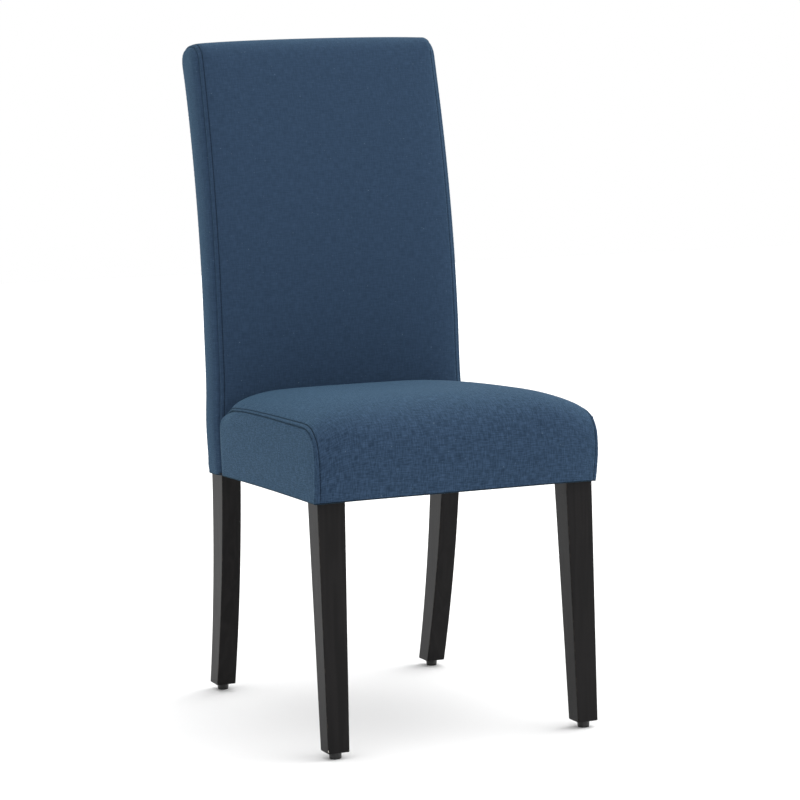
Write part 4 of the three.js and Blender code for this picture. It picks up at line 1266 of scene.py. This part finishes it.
# The plywood seat board: eased edges, rounded front corners, and narrower where it runs into the back.
boardValues = {
    "half": 196, "rearHalf": 166, "front": 4, "rear": 490, "low": 420.3, "high": 432.3,
    "narrowFrom": 402, "narrowTo": 424, "corner": 6, "edge": 0.8, "cornerSteps": 7, "steps": 90,
}


# The right half of its outline, mirrored to the left, and carried up through four levels.
def seatBoard():
    v = boardValues
    turn = np.linspace(0, math.pi / 2, v["cornerSteps"])
    front = v["front"] + v["corner"] * (1 - np.cos(turn))
    y = np.concatenate([front, np.linspace(v["front"] + 2 * v["corner"], v["rear"], v["steps"])])
    half = mix(v["half"], v["rearHalf"], smooth(v["narrowFrom"], v["narrowTo"], y))
    half[:len(turn)] = v["half"] - v["corner"] * (1 - np.sin(turn))
    right = np.stack([half, y], 1)
    ring = np.concatenate([right, right[::-1] * np.array([-1.0, 1.0])])
    centre = np.array([0.0, (v["front"] + v["rear"]) / 2])
    eased = ring - v["edge"] * np.sign(ring - centre)
    low, high, edge = v["low"], v["high"], v["edge"]
    levels = [(eased, low), (ring, low + edge), (ring, high - edge), (eased, high)]
    rings = [np.column_stack([flat, np.full(len(flat), z)]) for flat, z in levels]
    piece = ringBody("seatBoard", rings, finishes["ply"])
    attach(piece, "chair")
    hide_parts("seat_board")


# A side rail between its front leg and post: the body, a tenon at each end, and a narrower neck where it
# passes between the two covers. Each section is its place, inner and outer side, bottom and top.
railValues = {
    "body": (176, 196, 356, 420), "neck": (176, 180, 372, 420), "tenon": (181, 191, 366, 410),
    "front": 40.2, "rear": 443.8, "tenonLength": 14.8, "shoulder": 0.01,
    "neckFrom": 402, "neckTo": 422, "neckEnd": 438, "neckStep": 2, "neckRings": 12, "edge": 0.8,
}


# An eased rectangle carried along the rail, from section to section.
def sideRail(side, hand):
    v = railValues
    body, neck, tenon = (np.array(v[k], float) for k in ("body", "neck", "tenon"))
    front, rear, length = v["front"], v["rear"], v["tenonLength"]
    sections = [(front - length, *tenon), (front - v["shoulder"], *tenon), (front, *body)]
    for y in np.linspace(v["neckFrom"], v["neckTo"], v["neckRings"]):
        sections.append((y, *mix(body, neck, smooth(v["neckFrom"], v["neckTo"], y))))
    sections += [(v["neckEnd"], *neck), (v["neckEnd"] + v["neckStep"], *body)]
    sections += [(rear, *body), (rear + v["shoulder"], *tenon), (rear + length, *tenon)]
    rings = []
    for y, inner, outer, low, high in sections[::-1]:
        left, right = sorted((side * inner, side * outer))
        rings.append(easedRectangle(left, right, low, high, y, v["edge"])[:, [0, 2, 1]])
    piece = ringBody("sideRail" + hand.capitalize(), rings, finishes["rawDeep"])
    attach(piece, "chair")
    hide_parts("side_rail_" + hand)


seatBoard()
for side, hand in ((-1, "left"), (1, "right")):
    sideRail(side, hand)
print("seat board and side rails made")


# Feet: a black pad with a rounded rim on a threaded steel stem, which screws into the leg's sleeve.

footValues = {
    "padTop": 9.0, "padBottom": 8.2, "padHeight": 9.7, "topRound": 0.6, "topArc": (0, 90),
    "bottomRound": 0.9, "bottomArc": (-85, -5),
    "sole": [(0.01, 0.35), (5.6, 0.35), (5.9, 0.05), (6.2, 0.0)],
    "flank": [(8.35, 2.2), (8.62, 5.2), (8.75, 6.6), (8.62, 6.75), (8.62, 7.05), (8.8, 7.2)],
    "socket": 4.3, "socketDepth": 5.7, "socketEase": 0.4, "middle": 0.01,
    "stemRadius": 4.0, "stemLow": 4.0, "stemHigh": 37.0, "sides": 28,
    "pitch": 1.25, "stepsPerTurn": 8, "threadDepth": 0.62, "threadEnds": (0.4, 1.6),
}


# The pad's profile: a hollow sole, a rounded foot, a ribbed flank, a rounded top and the stem's socket.
def footPad(name, node, place):
    v = footValues
    low, high, ease = v["bottomRound"], v["topRound"], v["socketEase"]
    top, depth = v["padHeight"], v["padHeight"] - v["socketDepth"]
    profile = v["sole"] + arc(v["padBottom"] - low, low, low, *v["bottomArc"]) + v["flank"]
    profile += arc(v["padTop"] - high, top - high, high, *v["topArc"])
    profile += [(v["socket"] + ease, top), (v["socket"], top - ease)]
    profile += [(v["socket"], depth), (v["middle"], depth)]
    piece = lathed(name, profile, place, finishes["plastic"])
    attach(piece, "foot_" + node)
    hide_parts("foot_pad_" + node)


# The thread is a lathed surface whose radius follows a V groove along a helix, fading at both ends.
def footStem(name, node, place):
    v = footValues
    angle = fullTurn(v["sides"])
    heights = np.arange(v["stemLow"], v["stemHigh"], v["pitch"] / v["stepsPerTurn"])
    turns = (heights[:, None] / v["pitch"] - angle[None] / (2 * math.pi)) % 1.0
    groove = 1 - np.abs(2 * turns - 1)
    fromEnd = np.minimum(heights - v["stemLow"], v["stemHigh"] - heights)
    cut = smooth(*v["threadEnds"], fromEnd)[:, None]
    radius = v["stemRadius"] - v["threadDepth"] * (groove * cut + (1 - cut))
    rings = [levelRing(place, r, angle, z) for r, z in zip(radius, heights)]
    piece = ringBody(name, rings, finishes["steel"])
    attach(piece, "foot_" + node)
    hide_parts("foot_stem_" + node)


for node, place in footPlaces.items():
    which = node.title().replace("_", "")
    footPad("footPad" + which, node, place)
    footStem("footStem" + which, node, place)
print("feet made")


# Dust cloth: a thin black sheet under the seat, notched round the legs, sagging a little between the
# staples that hold its edge.

dustValues = {
    "half": 202.8, "front": 3.0, "rear": 488.0, "legInner": 165.2, "legRear": 40.3,
    "postInner": 166.7, "postFront": 443.7, "height": 352.0, "thickness": 0.5, "sag": 1.6, "sagReach": 150,
    "across": 91, "deep": 111, "heldReach": 12, "waveReach": 40,
    "waves": [(0.35, 17, 0.6, 41), (0.30, 19, 0.8, 37)], "diagonal": (0.25, 53, 20, 80),
}


# The cloth sags by a smooth step from its edge inwards. Sine waves, each swung to and fro by a longer one,
# fade from the edge, and a long diagonal one lies in the middle. The sheet has two grids and walls along
# their border.
def dustCloth():
    v = dustValues
    notches = [-v["legInner"], v["legInner"], -v["postInner"], v["postInner"]]
    xs = np.unique([*np.linspace(-v["half"], v["half"], v["across"]), *notches])
    ys = np.unique([*np.linspace(v["front"], v["rear"], v["deep"]), v["legRear"], v["postFront"]])
    x, y = np.meshgrid(xs, ys, indexing="ij")
    fromEdge = np.minimum(v["half"] - np.abs(x), np.minimum(y - v["front"], v["rear"] - y))
    sag = v["sag"] * smooth(0, v["sagReach"], fromEdge)
    height, length, low, high = v["diagonal"]
    wrinkle = height * np.sin((x + y) / length) * smooth(low, high, fromEdge)
    for (height, length, swing, swingLength), (a, b) in zip(v["waves"], ((x, y), (y, x))):
        wave = np.sin(a / length + swing * np.sin(b / swingLength))
        wrinkle = wrinkle + height * wave * np.exp(-fromEdge / v["waveReach"])
    z = v["height"] - sag + wrinkle * smooth(0, v["heldReach"], fromEdge)
    lower = np.stack([x, y, z], -1).reshape(-1, 3)
    upper = lower + np.array([0, 0, v["thickness"]])
    faces = gridFaces(len(xs), len(ys))
    middle = lower[faces].mean(1)
    atLeg = (np.abs(middle[:, 0]) > v["legInner"]) & (middle[:, 1] < v["legRear"])
    atPost = (np.abs(middle[:, 0]) > v["postInner"]) & (middle[:, 1] > v["postFront"])
    faces = faces[~(atLeg | atPost)]
    a, b, c, d = (lower[faces[:, k], :2] for k in range(4))
    edges = np.concatenate([faces[:, [k, (k + 1) % 4]] for k in range(4)])
    ordered = np.sort(edges, 1)
    _, inverse, counts = np.unique(ordered, axis=0, return_inverse=True, return_counts=True)
    border = edges[counts[inverse.reshape(-1)] == 1]
    count = len(lower)
    walls = np.stack([border[:, 1], border[:, 0], border[:, 0] + count, border[:, 1] + count], 1)
    everything = np.concatenate([faces[:, ::-1], faces + count, walls[:, ::-1]])
    piece = meshFrom("dustCloth", np.concatenate([lower, upper]), everything, finishes["lining"])
    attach(piece, "chair")
    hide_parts("dust_cover")
    width, length = 2 * v["half"] * mm, (v["rear"] - v["front"]) * mm


# Staples: one bent wire each, a crown against the cloth and two short legs into the rail. Bend is how far
# each corner is cut, across and down.
stapleValues = {
    "spacing": 38, "first": 20, "last": 10, "inset": 7,
    "length": 10, "leg": 2.0, "bend": (0.5, 0.4), "crown": 0.5, "wire": 0.5, "sides": 6,
}


# A wire is a ring carried along its bent middle line.
def staples():
    v, s = dustValues, stapleValues
    xs = np.arange(-v["legInner"] + s["first"], v["legInner"] - s["last"], s["spacing"])
    ys = np.arange(v["legRear"] + s["first"], v["postFront"] - s["last"], s["spacing"])
    side, ends = v["half"] - s["inset"], (v["front"] + s["inset"], v["rear"] - s["inset"])
    places = [(x, y, (0.0, 1.0, 0.0)) for x in (-side, side) for y in ys]
    places += [(x, y, (1.0, 0.0, 0.0)) for x in xs for y in ends]
    end = s["length"] / 2
    cut, down = s["bend"]
    right = [(end - cut, -s["crown"]), (end, down - s["crown"]), (end, s["leg"])]
    profile = np.array([(-x, z) for x, z in right[::-1]] + right)
    made = []
    for x, y, along in places:
        centre = np.array([x, y, v["height"]]) + profile[:, :1] * along + profile[:, 1:] * skyward
        aside = np.cross(along, skyward)
        out = np.cross(unit(np.gradient(centre, axis=0)), aside)
        made.append(ringsRound(centre, aside, out, s["wire"] / 2, s["sides"]).reshape(-1, 3))
    faces = gridsOfFaces(len(made), len(profile), s["sides"])
    piece = meshFrom("dustClothStaples", np.concatenate(made), faces, finishes["steel"])
    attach(piece, "chair")


dustCloth()
staples()
print("dust cloth made")


# Frame pieces that keep their own shape get their material here.
def dress(node, material):
    piece = bpy.data.objects[node]
    for slot in piece.material_slots:
        slot.material = material


nodeFinishes = {
    "rawAcross": ["front_rail", "rear_rail", "back_low_rail", "back_top_rail", "corner_block_front_left",
                  "corner_block_front_right", "corner_block_rear_left", "corner_block_rear_right"],
    "ply": ["back_panel"],
    "steel": [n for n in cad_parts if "screw" in n or "insert" in n],
}
for finish, nodes in nodeFinishes.items():
    for node in nodes:
        dress(node, finishes[finish])


# Camera, found from the photograph: its place in the frame, in metres, its turn, tilt and roll in
# degrees, and its focal length in pixels of an 800 pixel picture.
cameraValues = {
    "place": (-1.3006, -3.31484, 0.7675), "turn": 21.8480, "tilt": 4.9232, "roll": -2.0699,
    "focal": 2422.6, "picture": 800, "sensor": 36, "farthest": 50,
}


# The way the lens looks comes from the turn and tilt, and its right and up are then rolled about it.
def addCamera():
    v = cameraValues
    turn, tilt, roll = (math.radians(v[k]) for k in ("turn", "tilt", "roll"))
    forward = Vector((math.sin(turn) * math.cos(tilt), math.cos(turn) * math.cos(tilt), -math.sin(tilt)))
    right = Vector((math.cos(turn), -math.sin(turn), 0))
    up = right.cross(forward)
    rolledRight = right * math.cos(roll) + up * math.sin(roll)
    rolledUp = up * math.cos(roll) - right * math.sin(roll)
    camera = bpy.data.cameras.new("photoCamera")
    camera.sensor_width = v["sensor"]
    camera.lens = v["focal"] * v["sensor"] / v["picture"]
    camera.clip_end = v["farthest"]
    holder = placed("photoCamera", camera)
    turned = Matrix((rolledRight, rolledUp, -forward)).transposed().to_4x4()
    holder.matrix_world = Matrix.Translation(v["place"]) @ turned
    bpy.context.scene.camera = holder


# Studio: a pale floor under a soft sky that is brighter from some sides. A lobe is the way that its
# middle lies, its strength, and the power of the cosine that it fades with.
studio = {
    "even": 0.74,
    "lobes": [
        ((0, 0, 1), 0.83, 4),
        ((0.7, 0, 0.7), 1.89, 4),
        ((0, -0.7, 0.7), 0.38, 4),
        ((0.55, 0.83, 0.1), 0.26, 6),
        ((1, 0, 0.1), 0.75, 6),
        ((0.55, -0.83, 0.1), 0.28, 6),
    ],
    "backdrop": 1.0, "floorSize": 40,
}


def addSky():
    world = bpy.data.worlds.new("studioSky")
    world.use_nodes = True
    s = Shader(world.node_tree)
    direction = s.make("ShaderNodeTexCoord", output="Generated")
    light = studio["even"]
    for way, strength, power in studio["lobes"]:
        middle = Vector(way).normalized()
        inputs = {0: direction, 1: middle}
        cosine = s.make("ShaderNodeVectorMath", {"operation": "DOT_PRODUCT"}, inputs, "Value")
        light = light + strength * cosine.atLeast(0.0) ** power
    seen = s.make("ShaderNodeLightPath", output="Is Camera Ray")
    strength = mix(light, studio["backdrop"], seen)
    background = s.make("ShaderNodeBackground", {}, {"Color": (1, 1, 1, 1), "Strength": strength})
    s.make("ShaderNodeOutputWorld", {}, {"Surface": background}, output=None)
    bpy.context.scene.world = world


def addFloor():
    half = studio["floorSize"] / 2
    mesh = bpy.data.meshes.new("studioFloor")
    corners = [(-half, -half, 0), (half, -half, 0), (half, half, 0), (-half, half, 0)]
    mesh.from_pydata(corners, [], [(0, 1, 2, 3)])
    mesh.materials.append(finishes["floor"])
    placed("studioFloor", mesh)


addCamera()
addSky()
addFloor()
bpy.context.scene.view_settings.view_transform = "Standard"
